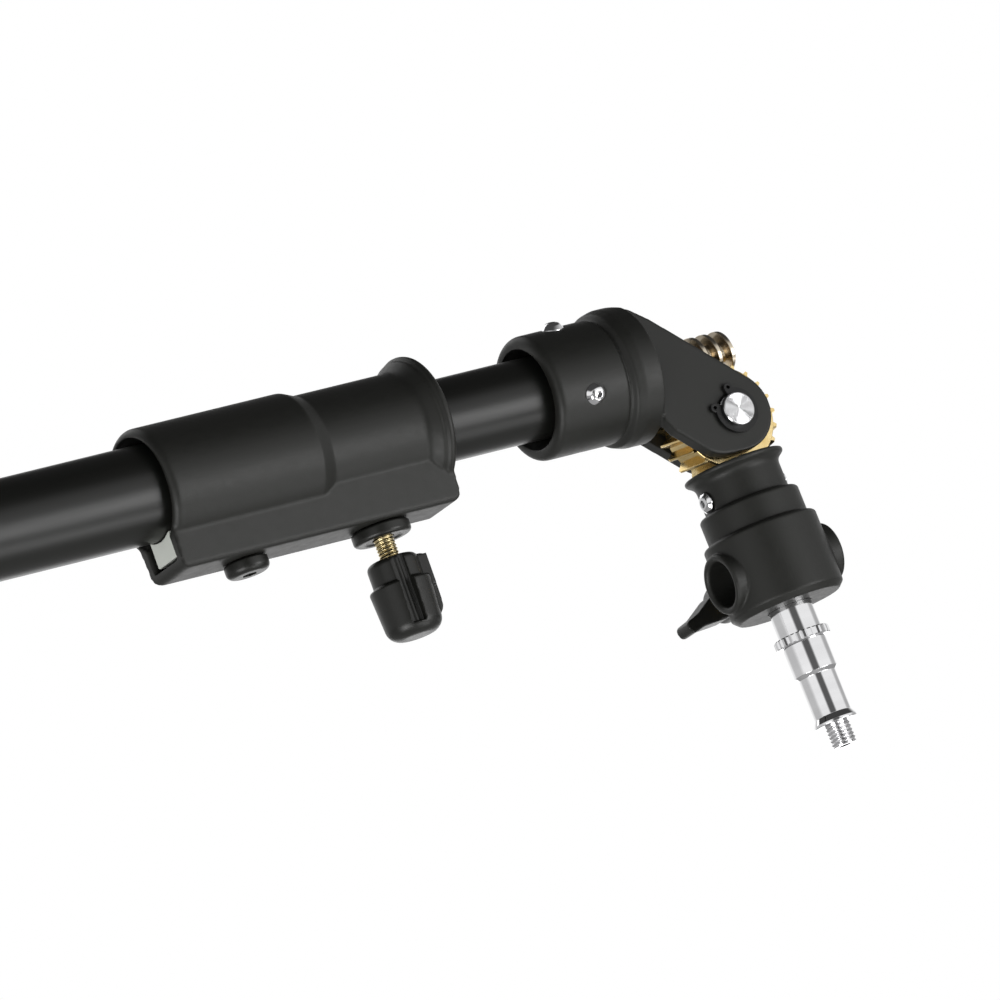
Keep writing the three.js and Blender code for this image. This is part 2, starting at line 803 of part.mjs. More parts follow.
// Pivot pin through both ears, with its rings and the washers beside the wheel
function buildPivot(arm) {
  const at = groupAt(arm, pinPlace.x, 0, pinPlace.z);
  const end = ear.outerFace + pin.pastEar;
  const grooveStart = ear.outerFace;
  const grooveEnd = ear.outerFace + ring.thickness + 2 * gap;
  const half = [
    [pin.radius, grooveStart],
    [pin.grooveRadius, grooveStart],
    [pin.grooveRadius, grooveEnd],
    [pin.radius, grooveEnd],
    [pin.radius, end - pin.chamfer],
    [pin.radius - pin.chamfer, end],
    [0, end],
  ];
  const mirrored = half.map(([radius, place]) => [radius, -place]).reverse();
  addPiece(at, 'pivot_pin', turned([...mirrored, ...half], keepY, midFacets), chrome);

  const outer = ear.outerFace + gap;
  const ringBody = retainingRing();
  addPiece(at, 'retaining_ring_1', ringBody.translate([0, -outer - ring.thickness, 0]), darkSteel);
  addPiece(at, 'retaining_ring_2', ringBody.translate([0, outer, 0]), darkSteel);

  const washerInner = earInner - gap - washer.thickness;
  const washerOuter = earInner - gap;
  const washerBody = tubeSolid(washer.radius, pin.radius + gap, washerInner, washerOuter, keepY, midFacets);
  addPiece(at, 'thrust_washer_1', washerBody.mirror([0, 1, 0]), bronze);
  addPiece(at, 'thrust_washer_2', washerBody, bronze);
}

// A threaded rod along X: its outline over one pitch runs along a right-hand helix.
// The thread's crest is half a pitch past x = 0 on the lower side of the rod.
function threadedRod(length) {
  const turns = 2 * Math.ceil(length / pitch / 2) + 4;
  const rootLand = pitch - worm.baseWidth;
  const flank = (worm.baseWidth - worm.crestWidth) / 2;
  const outline = [
    [worm.rootRadius, 0],
    [worm.rootRadius, rootLand / 2],
    [worm.radius, rootLand / 2 + flank],
    [worm.radius, rootLand / 2 + flank + worm.crestWidth],
    [worm.rootRadius, pitch - rootLand / 2],
  ];
  const perTurn = outline.length;
  const steps = midFacets * (turns - 1);
  const startX = (-pitch * turns) / 2;
  const positions = [];
  const vertex = (step, k) => {
    const [radius, along] = outline[k];
    const angle = (2 * Math.PI * step) / midFacets - Math.PI / 2;
    const x = startX + (pitch * step) / midFacets + along;
    positions.push(x, radius * Math.cos(angle), radius * Math.sin(angle));
  };
  for (let step = 0; step <= steps + midFacets; step += 1) {
    for (let k = 0; k < perTurn; k += 1) vertex(step, k);
  }
  const at = (step, k) => (k < perTurn ? step * perTurn + k : (step + midFacets) * perTurn);
  const faces = [];
  for (let step = 0; step < steps; step += 1) {
    for (let k = 0; k < perTurn; k += 1) {
      faces.push(at(step, k), at(step + 1, k), at(step + 1, k + 1));
      faces.push(at(step, k), at(step + 1, k + 1), at(step, k + 1));
    }
  }
  const cap = (step, reversed) => {
    const rim = [];
    for (let k = 0; k < perTurn; k += 1) rim.push(at(step, k));
    for (let turn = midFacets; turn > 0; turn -= 1) rim.push(at(step + turn, 0));
    const centre = positions.length / 3;
    positions.push(startX + (pitch * step) / midFacets + pitch, 0, 0);
    rim.forEach((vertexIndex, k) => {
      const next = rim[(k + 1) % rim.length];
      faces.push(...(reversed ? [centre, next, vertexIndex] : [centre, vertexIndex, next]));
    });
  };
  cap(0, false);
  cap(steps, true);
  const geometry = new THREE.BufferGeometry();
  geometry.setAttribute('position', new THREE.Float32BufferAttribute(positions, 3));
  geometry.setIndex(faces);
  return solid(geometry);
}

// Worm with its shaft, and the drive tube that turns it
function buildWorm(arm) {
  const at = groupAt(arm, pinPlace.x, 0, 0);
  const trim = turned(
    [
      [0, -worm.behindPin],
      [worm.rootRadius, -worm.behindPin],
      [worm.radius + gap, -worm.behindPin + worm.crestWidth],
      [worm.radius + gap, worm.beyondPin - worm.crestWidth],
      [worm.rootRadius, worm.beyondPin],
      [0, worm.beyondPin],
    ],
    turnToX,
    midFacets,
  );
  const thread = threadedRod(worm.behindPin + worm.beyondPin).intersect(trim);
  const wallFront = -pin.fromBase;
  const wallBack = wallFront - sleeve.frontWall;
  const shaftEnd = wallBack - worm.shaftBehindWall;
  const shoulder = rod(worm.shoulderRadius, wallFront + gap, -worm.behindPin, turnToX, midFacets);
  const shaft = rod(worm.shaftRadius, shaftEnd, -worm.behindPin, turnToX, midFacets);
  const crossX = shaftEnd + drivePin.fromEnd;
  const crossReach = driveTube.radius + overrun;
  const pinHole = rod(drivePin.radius + gap, -crossReach, crossReach, turnToZ, smallFacets);
  const crossHole = pinHole.translate([crossX, 0, 0]);
  const wormBody = thread.add(shoulder).add(shaft).subtract(crossHole);
  addPiece(at, 'worm', wormBody, steel);

  const tubeFront = wallBack - gap;
  const tubeRear = -driveTube.pastStand - pinX;
  const socketRear = shaftEnd - gap;
  const outside = rod(driveTube.radius, tubeRear, tubeFront, turnToX, midFacets);
  const shaftSocket = rod(worm.shaftRadius + gap, socketRear, tubeFront + overrun, turnToX, midFacets);
  const hexBore = bar(hexagon(driveRod.acrossFlats + 3 * gap), tubeRear - overrun, socketRear + overrun);
  const tubeBody = outside.subtract(shaftSocket).subtract(hexBore).subtract(crossHole);
  addPiece(at, 'drive_tube', tubeBody, steel);
  const crossPin = rod(drivePin.radius, -driveTube.radius, driveTube.radius, turnToZ, smallFacets);
  addPiece(at, 'drive_pin', crossPin.translate([crossX, 0, 0]), darkSteel);
}

// A toothed ring about Y, its teeth turned along Y to follow the worm's helix. At rest a tooth's middle
// is straight up, so the ring is turned back by the lean of the head.
function toothedRing() {
  const toothAngle = (2 * Math.PI) / wheel.teeth;
  const points = [];
  for (let k = 0; k < wheel.teeth; k += 1) {
    const middle = Math.PI / 2 - k * toothAngle;
    const rootHalf = wheel.rootThickness / 2 / wheel.rootRadius;
    const tipHalf = wheel.tipThickness / 2 / wheel.tipRadius;
    for (const [radius, angle] of [
      [wheel.rootRadius, middle + rootHalf],
      [wheel.tipRadius, middle + tipHalf],
      [wheel.tipRadius, middle - tipHalf],
      [wheel.rootRadius, middle - rootHalf],
    ]) {
      points.push([radius * Math.cos(angle), radius * Math.sin(angle)]);
    }
  }
  const width = 2 * wheel.toothHalfWidth;
  const slope = pitch / (2 * Math.PI * worm.pitchRadius);
  const tilt = THREE.MathUtils.degToRad(headTilt);
  const settings = { depth: width, steps: toothSteps, bevelEnabled: false };
  const geometry = new THREE.ExtrudeGeometry(polygon(points), settings);
  geometry.rotateX(Math.PI / 2).translate(0, wheel.toothHalfWidth, 0);
  const place = geometry.attributes.position;
  const point = new THREE.Vector3();
  const axis = new THREE.Vector3(0, 1, 0);
  for (let i = 0; i < place.count; i += 1) {
    point.fromBufferAttribute(place, i);
    point.applyAxisAngle(axis, tilt + (point.y * slope) / wheelPitchRadius);
    place.setXYZ(i, point.x, point.y, point.z);
  }
  return solid(geometry);
}

// Worm wheel with its hub and the stem that the socket is fixed on
function buildWheel(head) {
  const hub = rod(wheel.hubRadius, -wheelHalfWidth, wheelHalfWidth, keepY, midFacets);
  const clear = socket.flangeTop - gap;
  const tip = wheel.tipRadius;
  const below = block(-tip, tip, -earInner, earInner, -tip - overrun, -clear);
  const reach = wheel.stemRadius;
  const stem = rod(reach, -wheel.stemDepth, 0, turnToZ, midFacets);
  const sides = block(-reach, reach, -wheelHalfWidth, wheelHalfWidth, -wheel.stemDepth, 0);
  const foot = rod(reach, -wheel.stemDepth, -clear, turnToZ, midFacets);
  const bore = rod(pin.radius + gap, -earInner, earInner, keepY, midFacets);
  const tap = rod(neckScrew.shankRadius + gap, -tip, tip, turnToX, smallFacets);
  const body = toothedRing()
    .add(hub)
    .subtract(below)
    .add(stem.intersect(sides))
    .add(foot)
    .subtract(bore)
    .subtract(tap.translate([0, 0, -neckScrew.level]));
  addPiece(head, 'worm_wheel', body, brass);
}

// Spigot socket: a stepped casting with a bore for the spigot and a cross tube
function buildSocket(head) {
  const s = socket;
  const round = turned(
    [
      [0, -s.bodyBottom],
      [s.bodyRadius - s.bottomEdge, -s.bodyBottom],
      [s.bodyRadius, -s.bodyBottom + s.bottomEdge],
      [s.bodyRadius, -s.bodyTop - s.shoulder],
      [s.bodyRadius - s.shoulder, -s.bodyTop],
      [s.ringRadius, -s.bodyTop],
      [s.ringRadius, -s.ringTop - s.step],
      [s.ringRadius - s.step, -s.ringTop],
      [s.neckRadius, -s.ringTop],
      [s.neckRadius, -s.neckTop],
      [s.flangeRadius - s.flangeEdge, -s.flangeTop - s.flangeUnder],
      [s.flangeRadius, -s.flangeTop - s.flangeEdge],
      [s.flangeRadius - s.flangeEdge, -s.flangeTop],
      [0, -s.flangeTop],
    ],
    turnToZ,
  );
  const crossAt = [0, 0, -s.crossLevel];
  const half = s.crossHalfLength;
  const mouth = receiverRadius + s.mouthFlare;
  const crossTube = turned(
    [
      [0, -half],
      [s.crossRadius - s.crossEdge, -half],
      [s.crossRadius, -half + s.crossEdge],
      [s.crossRadius, half - s.crossEdge],
      [s.crossRadius - s.crossEdge, half],
      [0, half],
    ],
    turnToX,
  );
  const boreEnd = half + s.mouthFlare;
  const crossBore = turned(
    [
      [0, -boreEnd],
      [mouth + s.mouthFlare, -boreEnd],
      [receiverRadius + gap, -half + s.mouthFlare],
      [receiverRadius + gap, half - s.mouthFlare],
      [mouth + s.mouthFlare, boreEnd],
      [0, boreEnd],
    ],
    turnToX,
  );
  const lockBoss = rod(s.lockBossRadius, 0, s.lockBossReach, keepY, midFacets);
  const lockBore = rod(lock.insertRadius + gap, 0, s.lockBossReach + overrun, keepY, midFacets);
  const stemBore = rod(wheel.stemRadius + gap, -wheel.stemDepth - gap, 0, turnToZ, midFacets);
  const mouthLevel = -s.bodyBottom - overrun;
  const spigotBore = rod(receiverRadius + gap, mouthLevel, -s.spigotBoreTop, turnToZ, midFacets);
  const screwReach = s.neckRadius + overrun;
  const screwBore = rod(neckScrew.shankRadius + gap, -screwReach, screwReach, turnToX, smallFacets);
  const body = round
    .add(crossTube.translate(crossAt))
    .add(lockBoss.translate(crossAt))
    .subtract(stemBore)
    .subtract(spigotBore)
    .subtract(crossBore.translate(crossAt))
    .subtract(lockBore.translate(crossAt))
    .subtract(screwBore.translate([0, 0, -neckScrew.level]));
  addPiece(head, 'spigot_socket', body, blackPaint);

  const headStart = s.neckRadius + gap;
  const screw = turned(
    [
      [0, neckScrew.start],
      [neckScrew.shankRadius, neckScrew.start],
      [neckScrew.shankRadius, headStart],
      [neckScrew.headRadius, headStart],
      [neckScrew.headRadius, headStart + neckScrew.headHeight / 2],
      [neckScrew.headRadius * Math.SQRT1_2, headStart + neckScrew.headHeight],
      [0, headStart + neckScrew.headHeight],
    ],
    turnToX,
    smallFacets,
  );
  const level = [0, 0, -neckScrew.level];
  addPiece(head, 'neck_screw_1', screw.mirror([1, 0, 0]).translate(level), chrome);
  addPiece(head, 'neck_screw_2', screw.translate(level), chrome);
}

// Pad, insert, stud and winged lever that lock the spigot
function buildLock(head) {
  const at = groupAt(head, 0, 0, -socket.crossLevel);
  const padStart = receiverRadius + gap;
  const padEnd = padStart + lock.padLength;
  addPiece(at, 'lock_pad', rod(lock.padRadius, padStart, padEnd, keepY, smallFacets), brass);

  const insertStart = padEnd + lock.travel + 2 * gap;
  const insertBody = tubeSolid(
    lock.insertRadius,
    lock.studRadius + gap,
    insertStart,
    socket.lockBossReach,
    keepY,
    midFacets,
  );
  addPiece(at, 'lock_insert', insertBody, brass);

  const hubEnd = lock.hubStart + lock.hubLength;
  const studEnd = hubEnd - lock.hubLength / 3;
  addPiece(at, 'lock_stud', rod(lock.studRadius, padEnd + gap, studEnd, keepY, smallFacets), yellowZinc);

  const hub = turned(
    [
      [0, lock.hubStart],
      [lock.hubRadius - lock.hubEdge / 2, lock.hubStart],
      [lock.hubRadius, lock.hubStart + lock.hubEdge / 2],
      [lock.hubRadius, hubEnd - lock.hubEdge],
      [lock.hubRadius - lock.hubEdge, hubEnd],
      [0, hubEnd],
    ],
    keepY,
    midFacets,
  );
  const bend = lock.hubRadius + lock.hubEdge;
  const halfWing = [
    [bend, -lock.wingRootHalf],
    [lock.wingReach, -lock.wingTipHalf],
    [lock.wingReach, lock.wingTipHalf],
    [bend, lock.wingRootHalf],
  ];
  const wing = polygon([...halfWing, ...halfWing.map(([x, z]) => [-x, -z])]);
  const wingMiddle = lock.hubStart + lock.hubLength / 2;
  const wingBody = plate(wing, wingMiddle - lock.wingHalfWidth, wingMiddle + lock.wingHalfWidth);
  const studHole = rod(lock.studRadius + gap, lock.hubStart - overrun, studEnd + gap, keepY, smallFacets);
  const lever = hub.add(wingBody.rotate([0, -lockWingTurn, 0])).subtract(studHole);
  addPiece(at, 'lock_lever', lever, blackPlastic);
}

// Spigot with a seat for a knurled ring
function buildSpigot(head) {
  const s = spigot;
  const body = turned(
    [
      [0, -s.end],
      [s.threadRadius - s.endChamfer, -s.end],
      [s.threadRadius, -s.end + s.endChamfer],
      [s.threadRadius, -s.shoulder],
      [s.flareRadius, -s.shoulder],
      [s.flareRadius, -s.shoulder + s.flareEdge],
      [s.waistRadius, -s.flareTop],
      [s.waistRadius, -s.waistTop - s.waistBevel],
      [receiverRadius, -s.waistTop],
      [receiverRadius, -s.ringBottom - gap],
      [receiverRadius - s.seatGroove, -s.ringBottom - gap],
      [receiverRadius - s.seatGroove, -s.ringTop + gap],
      [receiverRadius, -s.ringTop + gap],
      [receiverRadius, -s.top - s.endChamfer],
      [receiverRadius - s.endChamfer, -s.top],
      [0, -s.top],
    ],
    turnToZ,
    midFacets,
  );
  addPiece(head, 'spigot', body, chrome);

  const shape = new THREE.Shape();
  for (let k = 0; k < 2 * knurls; k += 1) {
    const angle = (Math.PI * k) / knurls;
    const radius = k % 2 ? s.ringRadius - s.knurlDepth : s.ringRadius;
    const [x, y] = [radius * Math.cos(angle), radius * Math.sin(angle)];
    if (k === 0) shape.moveTo(x, y);
    else shape.lineTo(x, y);
  }
  const depth = s.ringBottom - s.ringTop;
  const toothed = new THREE.ExtrudeGeometry(shape, { depth, bevelEnabled: false });
  const teeth = solid(toothed.translate(0, 0, -s.ringBottom));
  const seatRadius = receiverRadius - s.seatGroove + gap;
  const seat = rod(seatRadius, -s.ringBottom - overrun, -s.ringTop + overrun, turnToZ, midFacets);
  addPiece(head, 'knurled_ring', teeth.subtract(seat), chrome);
}

buildOuterTube();
buildCrank();
buildCollar();
const arm = groupAt(boom, sleeveRear, 0, 0);
buildInnerTube(arm);
buildYoke(arm);
buildPivot(arm);
buildWorm(arm);
const head = groupAt(boom, pinX, 0, -pin.below);
head.rotation.y = -THREE.MathUtils.degToRad(headTilt);
buildWheel(head);
buildSocket(head);
buildLock(head);
buildSpigot(head);

export default boom;
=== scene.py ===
import json
from math import atan2, ceil, cos, pi, radians, sin, sqrt, tan, tau
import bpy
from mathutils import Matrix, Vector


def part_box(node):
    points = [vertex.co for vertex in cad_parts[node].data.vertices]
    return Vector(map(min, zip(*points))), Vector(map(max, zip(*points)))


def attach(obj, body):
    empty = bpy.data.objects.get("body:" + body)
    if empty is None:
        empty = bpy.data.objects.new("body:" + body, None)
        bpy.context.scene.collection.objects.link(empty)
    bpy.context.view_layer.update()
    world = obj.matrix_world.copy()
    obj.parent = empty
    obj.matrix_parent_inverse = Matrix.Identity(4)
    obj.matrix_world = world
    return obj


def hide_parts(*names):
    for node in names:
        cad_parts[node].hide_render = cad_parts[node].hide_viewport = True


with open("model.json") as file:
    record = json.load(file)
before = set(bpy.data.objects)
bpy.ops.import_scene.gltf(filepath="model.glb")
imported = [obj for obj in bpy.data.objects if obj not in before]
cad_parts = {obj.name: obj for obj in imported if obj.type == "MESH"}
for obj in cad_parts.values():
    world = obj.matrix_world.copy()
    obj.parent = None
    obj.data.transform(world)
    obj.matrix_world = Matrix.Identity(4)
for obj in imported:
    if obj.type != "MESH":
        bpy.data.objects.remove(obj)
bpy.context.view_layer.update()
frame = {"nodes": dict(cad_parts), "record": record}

from types import SimpleNamespace as Sizes

import bmesh
import bpy
from mathutils import Matrix, Vector

# Sizes are in millimetres, and finished pieces are scaled to metres
MM = 0.001
GAP = 0.3
OVERRUN = 2
WELD = 0.0005

# Facets round a large and a small circle, and the degrees of one step on a rounded corner
SEGMENTS = 112
FEWER = 56
ARC_STEP = 12

# Roundings that several pieces share
CRISP = 0.2
FINE = 0.3
SMALL = 0.4
SOFT = 0.5
FULL = 1

outer_tube = Sizes(radius=17.5, wall=2)
inner_tube = Sizes(radius=15, wall=2)
plug = Sizes(flange=4.2, bore=7.7, edge=2, notches=24, notch_width=1.2, notch_facets=12, bearing_wall=2.3)
collar = Sizes(
    length=115.3, rear_radius=23.3, front_radius=21.1, rear_length=61.9, ramp_length=5.6, edge=3,
    step_edge=1.6, lip_radius=25.6, lip_width=8.6, lip_edge=1.6, lip_cove=4.6, lip_shoulder=0.9,
    shoulder_edge=0.7, lip_groove=1.1, lip_bead=3, bead_edge=1.2, keel_top=16.6, keel_bottom=12.5,
    keel_depth=31.4, keel_edge=1.8, keel_far_edge=4.2, end_edge=3.2, floor=4.1, cavity_half=9.3,
    front_wall=6, mouth=2.6, mouth_lip=1, mouth_depth=5,
)
fixing_screw = Sizes(
    x=30.7, head_radius=8.1, head_height=5.2, shank_radius=4, crown=2.8, edge=0.8, across=5, depth=2.6,
)
pad = Sizes(start=1.2, end=60, side_gap=1.6, under_gap=1.4)
insert = Sizes(
    x=86.4, flange_radius=10.75, flange_height=4.7, shank_radius=6.5, crown=2.2, dish=0.5, rim=2.2,
)
stud = Sizes(radius=3.75, thread=0.42, pitch=1.25, into_knob=18)
knob = Sizes(
    below=12.4, height=29.2, collar_radius=9.4, collar_height=9.2, collar_edge=2.4, drum_radius=11.4,
    drum_edge=0.6, crown=3.6, dome=6.5, taper=0.6, wing_drop=1.2, wing_reach=11.9, wing_half=4.6,
    wing_foot_edge=2, wing_bend_edge=5, wing_side_edge=3, wing_top_edge=1.4, pad_length=12, pad_start=5.6,
    pad_rise=1.2, groove_start=-4.9, groove_width=5, groove_depth=3.4, rib=1, rib_root=1,
)
sleeve = Sizes(
    length=42.6, radius=22.7, base_radius=25.3, base_start=30.1, flare=5.3, flare_edge=2, step_edge=0.8,
    edge=3, front_wall=6.2, mouth=3, mouth_lip=1, mouth_depth=7, tuck=0.06, groove=0.9,
)
sleeve_screw = Sizes(
    x=15.3, head_radius=3.95, head_height=2, crown_share=0.62, crown=2.4, shank_radius=2, count=4,
    across=2.5, depth=1.5, turn=21, sunk_number=2, sunk=2.6,
)
spot_face = Sizes(radius=4.35, depth=0.35)
ear = Sizes(
    radius=14.6, outer=15.5, thickness=5.5, lower_reach=19.2, heel=16.5, heel_steps=8, slope=43.4,
    root_level=19, root_drop=3, root_run=3.4, steps=40,
)
pin = Sizes(
    from_base=28.3, below=25, radius=6.2, past_ear=3.5, groove_radius=5.4, chamfer=0.8, dimple=0.35,
    face_share=0.3, turning=0.55,
)
ring = Sizes(
    thickness=1.2, radius=8.4, inner=5.7, middle=128, half_gap=24, steps=72, edge=0.15, lug_radius=1.7,
    lug_step=0.05, lug_reach=8.7, lug_facets=32, eye=0.7, eye_facets=24,
)
worm = Sizes(
    radius=7.7, root=4, behind_pin=12.3, beyond_pin=14.7, crest=1.5, crest_edge=0.25, base=3, end_edge=0.6,
    shoulder=6.4, shaft=5, behind_wall=16, pitch_radius=6, facets=64, spare_turns=4,
)
wheel = Sizes(
    teeth=22, tip=20.6, root=16.9, tip_width=0.9, root_width=2.9, half_width=8.2, slices=17, hub=11,
    stem=9.5, stem_depth=33, chamfer=0.5, washer=0.7, rim=18.9, rim_width=1.9,
)
# The flank of a wheel tooth: distances from root and tip, and shares of the half width there
flank = Sizes(root_share=1.12, fillet=0.7, fillet_share=0.86, tip_edge=0.25, edge_share=1.1, tip_share=0.7)
shaft_bush = Sizes(radius=8.6)
socket = Sizes(
    flange_top=16.1, flange_radius=18.7, flange_edge=1.5, flange_under=3.6, flange_curve=1.2, cove=3.2,
    neck_radius=15.8, ring_top=30.8, ring_radius=18.8, body_top=41.3, body_radius=21.4, body_bottom=71,
    step=0.9, bottom_edge=2.2, bottom_curve=0.6, side_curve=0.8, seam=0.5, cross_level=56.2,
    cross_half=23.5, cross_radius=11, mouth_flare=1, bore_top=46.6, boss_radius=8.6, boss_reach=26,
)
neck_screw = Sizes(
    level=26.4, head_radius=4, head_height=1.7, crown_share=0.6, crown=2.4, shank_radius=2, start=2,
    across=2.6, depth=1.1,
)
receiver_radius = 8
lock = Sizes(
    stud_radius=3, thread=0.35, pitch=1, insert_radius=5.2, hub_start=31, hub_radius=7.4, hub_length=13,
    hub_edge=2, wing_reach=23, wing_half=4.6, root_half=5, root_share=0.8, root_curve=4, waist_half=2.6,
    waist_share=0.72, waist_curve=6, tip_half=2.4, tip_curve=2, turn=16.5,
)
spigot = Sizes(
    top=47, ring_top=81.5, ring_bottom=84.7, ring_radius=10.35, ring_bevel=0.7, knurl=0.5, knurls=30,
    knurl_shares=(0.3, 0.7), waist_top=96.3, waist_radius=6.85, waist_bevel=1.2, flare_top=112.8,
    flare_radius=8, flare_edge=1, shoulder=116, thread_radius=4.75, thread=0.5, pitch=1.4, end=124.5,
    chamfer=0.8, seat_groove=0.6, socket=2.3, socket_depth=3,
)
crank = Sizes(
    hub_radius=9, hub_length=15, hub_edge=0.8, arm=7, arm_half=6.4, arm_taper=0.9, throw=40,
    end_radius=7.6, rod_across=8,
)
grip = Sizes(
    radius=9, length=34, waist=7.6, edge=2, axle=3, head=5, head_height=2.4, crown=1.8, ribs=9,
    rib_depth=0.5, ridge_end=0.65, groove_start=0.75, groove_end=0.92,
)
crank_bolt = Sizes(radius=2, head=4.5, head_height=3, crown=0.6, across=3.4, depth=1.8)
HEAD_TILT = 2.5


def low(node):
    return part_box(node)[0] / MM


def high(node):
    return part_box(node)[1] / MM


def middle(node):
    return (low(node) + high(node)) / 2


def shift(x=0, y=0, z=0):
    return Matrix.Translation((x, y, z))


def rotation(degrees, axis):
    return Matrix.Rotation(radians(degrees), 4, axis)


# Turns for pieces made along Z. PLATE and BAR stand an outline up and extrude it along Y and X.
TO_X = rotation(90, "Y")
TO_Y = rotation(-90, "X")
PLATE = rotation(90, "X")
BAR = Matrix(((0, 0, 1, 0), (1, 0, 0, 0), (0, 1, 0, 0), (0, 0, 0, 1)))

# Places of the sub-parts
PIN_X = sleeve.length + pin.from_base
AT_COLLAR = shift(low("clamp_collar").x)
AT_INSERT = AT_COLLAR @ shift(insert.x)
AT_SLEEVE = shift(low("head_yoke").x)
AT_PIN = AT_SLEEVE @ shift(PIN_X, 0, -pin.below)
AT_WORM = AT_SLEEVE @ shift(PIN_X)
AT_HEAD = AT_PIN @ rotation(-HEAD_TILT, "Y")
AT_CROSS = AT_HEAD @ shift(z=-socket.cross_level)
AT_CRANK = shift(low("crank_arm").x)

# Sizes that several sub-parts share
WALL_REAR = sleeve.length - sleeve.front_wall
EAR_INNER = ear.outer - ear.thickness
WHEEL_RADIUS = pin.below - worm.pitch_radius
PITCH = tau * WHEEL_RADIUS / wheel.teeth


def polar(radius, angle):
    return radius * cos(angle), radius * sin(angle)


def assign(target, **settings):
    for name, value in settings.items():
        setattr(target, name, value)
    return target


# Mesh helpers
def add_object(name, data):
    item = bpy.data.objects.new(name, data)
    bpy.context.scene.collection.objects.link(item)
    return item


def ring_faces(rows, count, first=0):
    """Faces between rows of vertices that go once round."""
    faces = []
    for here in range(first, first + (rows - 1) * count, count):
        for k in range(count):
            beside = (k + 1) % count
            faces.append((here + k, here + beside, here + count + beside, here + count + k))
    return faces


def new_piece(vertices, faces):
    mesh = bpy.data.meshes.new("piece")
    mesh.from_pydata(vertices, [], faces)
    edit = bmesh.new()
    edit.from_mesh(mesh)
    bmesh.ops.recalc_face_normals(edit, faces=edit.faces)
    edit.to_mesh(mesh)
    edit.free()
    return add_object("piece", mesh)


def rounded(points, closed, longest=0.48):
    """An outline whose corners, given as (x, y, radius), are arcs that use a share of each side at most."""
    if all(len(point) == 2 for point in points):
        return points
    result = []
    count = len(points)
    for index, point in enumerate(points):
        here = Vector(point[:2])
        radius = point[2] if len(point) > 2 else 0
        at_end = not closed and index in (0, count - 1)
        if at_end or not radius:
            result.append((here.x, here.y))
            continue
        before = Vector(points[index - 1][:2]) - here
        after = Vector(points[(index + 1) % count][:2]) - here
        half = before.angle(after) / 2
        reach = min(radius / tan(half), longest * before.length, longest * after.length)
        radius = reach * tan(half)
        centre = here + (before.normalized() + after.normalized()).normalized() * radius / sin(half)
        start = here + before.normalized() * reach - centre
        end = here + after.normalized() * reach - centre
        sweep = atan2(start.x * end.y - start.y * end.x, start.dot(end))
        steps = max(2, ceil(abs(sweep) / radians(ARC_STEP)))
        for step in range(steps + 1):
            place = centre + Matrix.Rotation(sweep * step / steps, 2) @ start
            result.append((place.x, place.y))
    return result


def lathe(outline, segments=SEGMENTS):
    """A solid turned about Z, from an outline of radii and places that ends on the axis or is a loop."""
    is_loop = outline[0][0] > 0
    outline = rounded(outline, is_loop)
    vertices, faces, rings = [], [], []
    for radius, place in outline:
        count = segments if radius > 0 else 1
        rings.append([len(vertices) + k for k in range(count)])
        vertices += [(*polar(radius, tau * k / segments), place) for k in range(count)]
    pairs = list(zip(rings, rings[1:]))
    if is_loop:
        pairs.append((rings[-1], rings[0]))
    for one, other in pairs:
        for k in range(segments):
            corners = [one[k % len(one)], one[(k + 1) % len(one)]]
            corners += [other[(k + 1) % len(other)], other[k % len(other)]]
            faces.append(tuple(dict.fromkeys(corners)))
    return new_piece(vertices, faces)


def rod(radius, start, end, segments=SEGMENTS):
    return lathe([(0, start), (radius, start), (radius, end), (0, end)], segments)


def soft_rod(radius, start, end, first_edge, last_edge):
    """A rod with rounded edges."""
    return lathe([(0, start), (radius, start, first_edge), (radius, end, last_edge), (0, end)])


def headed(head_radius, radius, foot, head, end, crown, edge=0, tip=0):
    """The outline of a pin: its head from foot to head, and its shank up to end."""
    shank = [(radius, head), (radius, end, tip), (0, end)]
    return [(0, foot), (head_radius, foot, crown), (head_radius, head, edge)] + shank


def prism(outline, start, end):
    """An outline in the XY plane, extruded along Z."""
    outline = rounded(outline, closed=True)
    count = len(outline)
    vertices = [(x, y, start) for x, y in outline] + [(x, y, end) for x, y in outline]
    ends = [tuple(range(count)), tuple(range(count, 2 * count))]
    return new_piece(vertices, ends + ring_faces(2, count))


def block(x, y, z):
    """A box between two places on each axis."""
    return prism([(x[0], y[0]), (x[1], y[0]), (x[1], y[1]), (x[0], y[1])], z[0], z[1])


def circle(radius, start, end, steps, centre=(0, 0)):
    turns = [radians(start + (end - start) * k / steps) for k in range(steps + 1)]
    return [(centre[0] + radius * cos(turn), centre[1] + radius * sin(turn)) for turn in turns]


def hexagon(across):
    return circle(across / sqrt(3), 0, 300, 5)


def mirrored(half):
    """The other half of an outline, on the far side of the first axis."""
    return [(x, -y, *curve) for x, y, *curve in reversed(half)]


def loop(inner, outer, start, end, edge):
    """The outline of a tube with rounded ends."""
    return [(inner, start, edge), (outer, start, edge), (outer, end, edge), (inner, end, edge)]


def move(piece, *matrices):
    for matrix in matrices:
        piece.data.transform(matrix)
    return piece


def bake(piece):
    """Applies the piece's modifiers to its mesh."""
    depsgraph = bpy.context.evaluated_depsgraph_get()
    mesh = bpy.data.meshes.new_from_object(piece.evaluated_get(depsgraph))
    old = piece.data
    piece.modifiers.clear()
    piece.data = mesh
    bpy.data.meshes.remove(old)
    return piece


def welded(piece):
    """Closes the slivers that a boolean leaves where faces nearly meet."""
    edit = bmesh.new()
    edit.from_mesh(piece.data)
    bmesh.ops.remove_doubles(edit, verts=edit.verts, dist=WELD)
    bmesh.ops.dissolve_degenerate(edit, edges=edit.edges, dist=WELD)
    edit.to_mesh(piece.data)
    edit.free()
    return piece


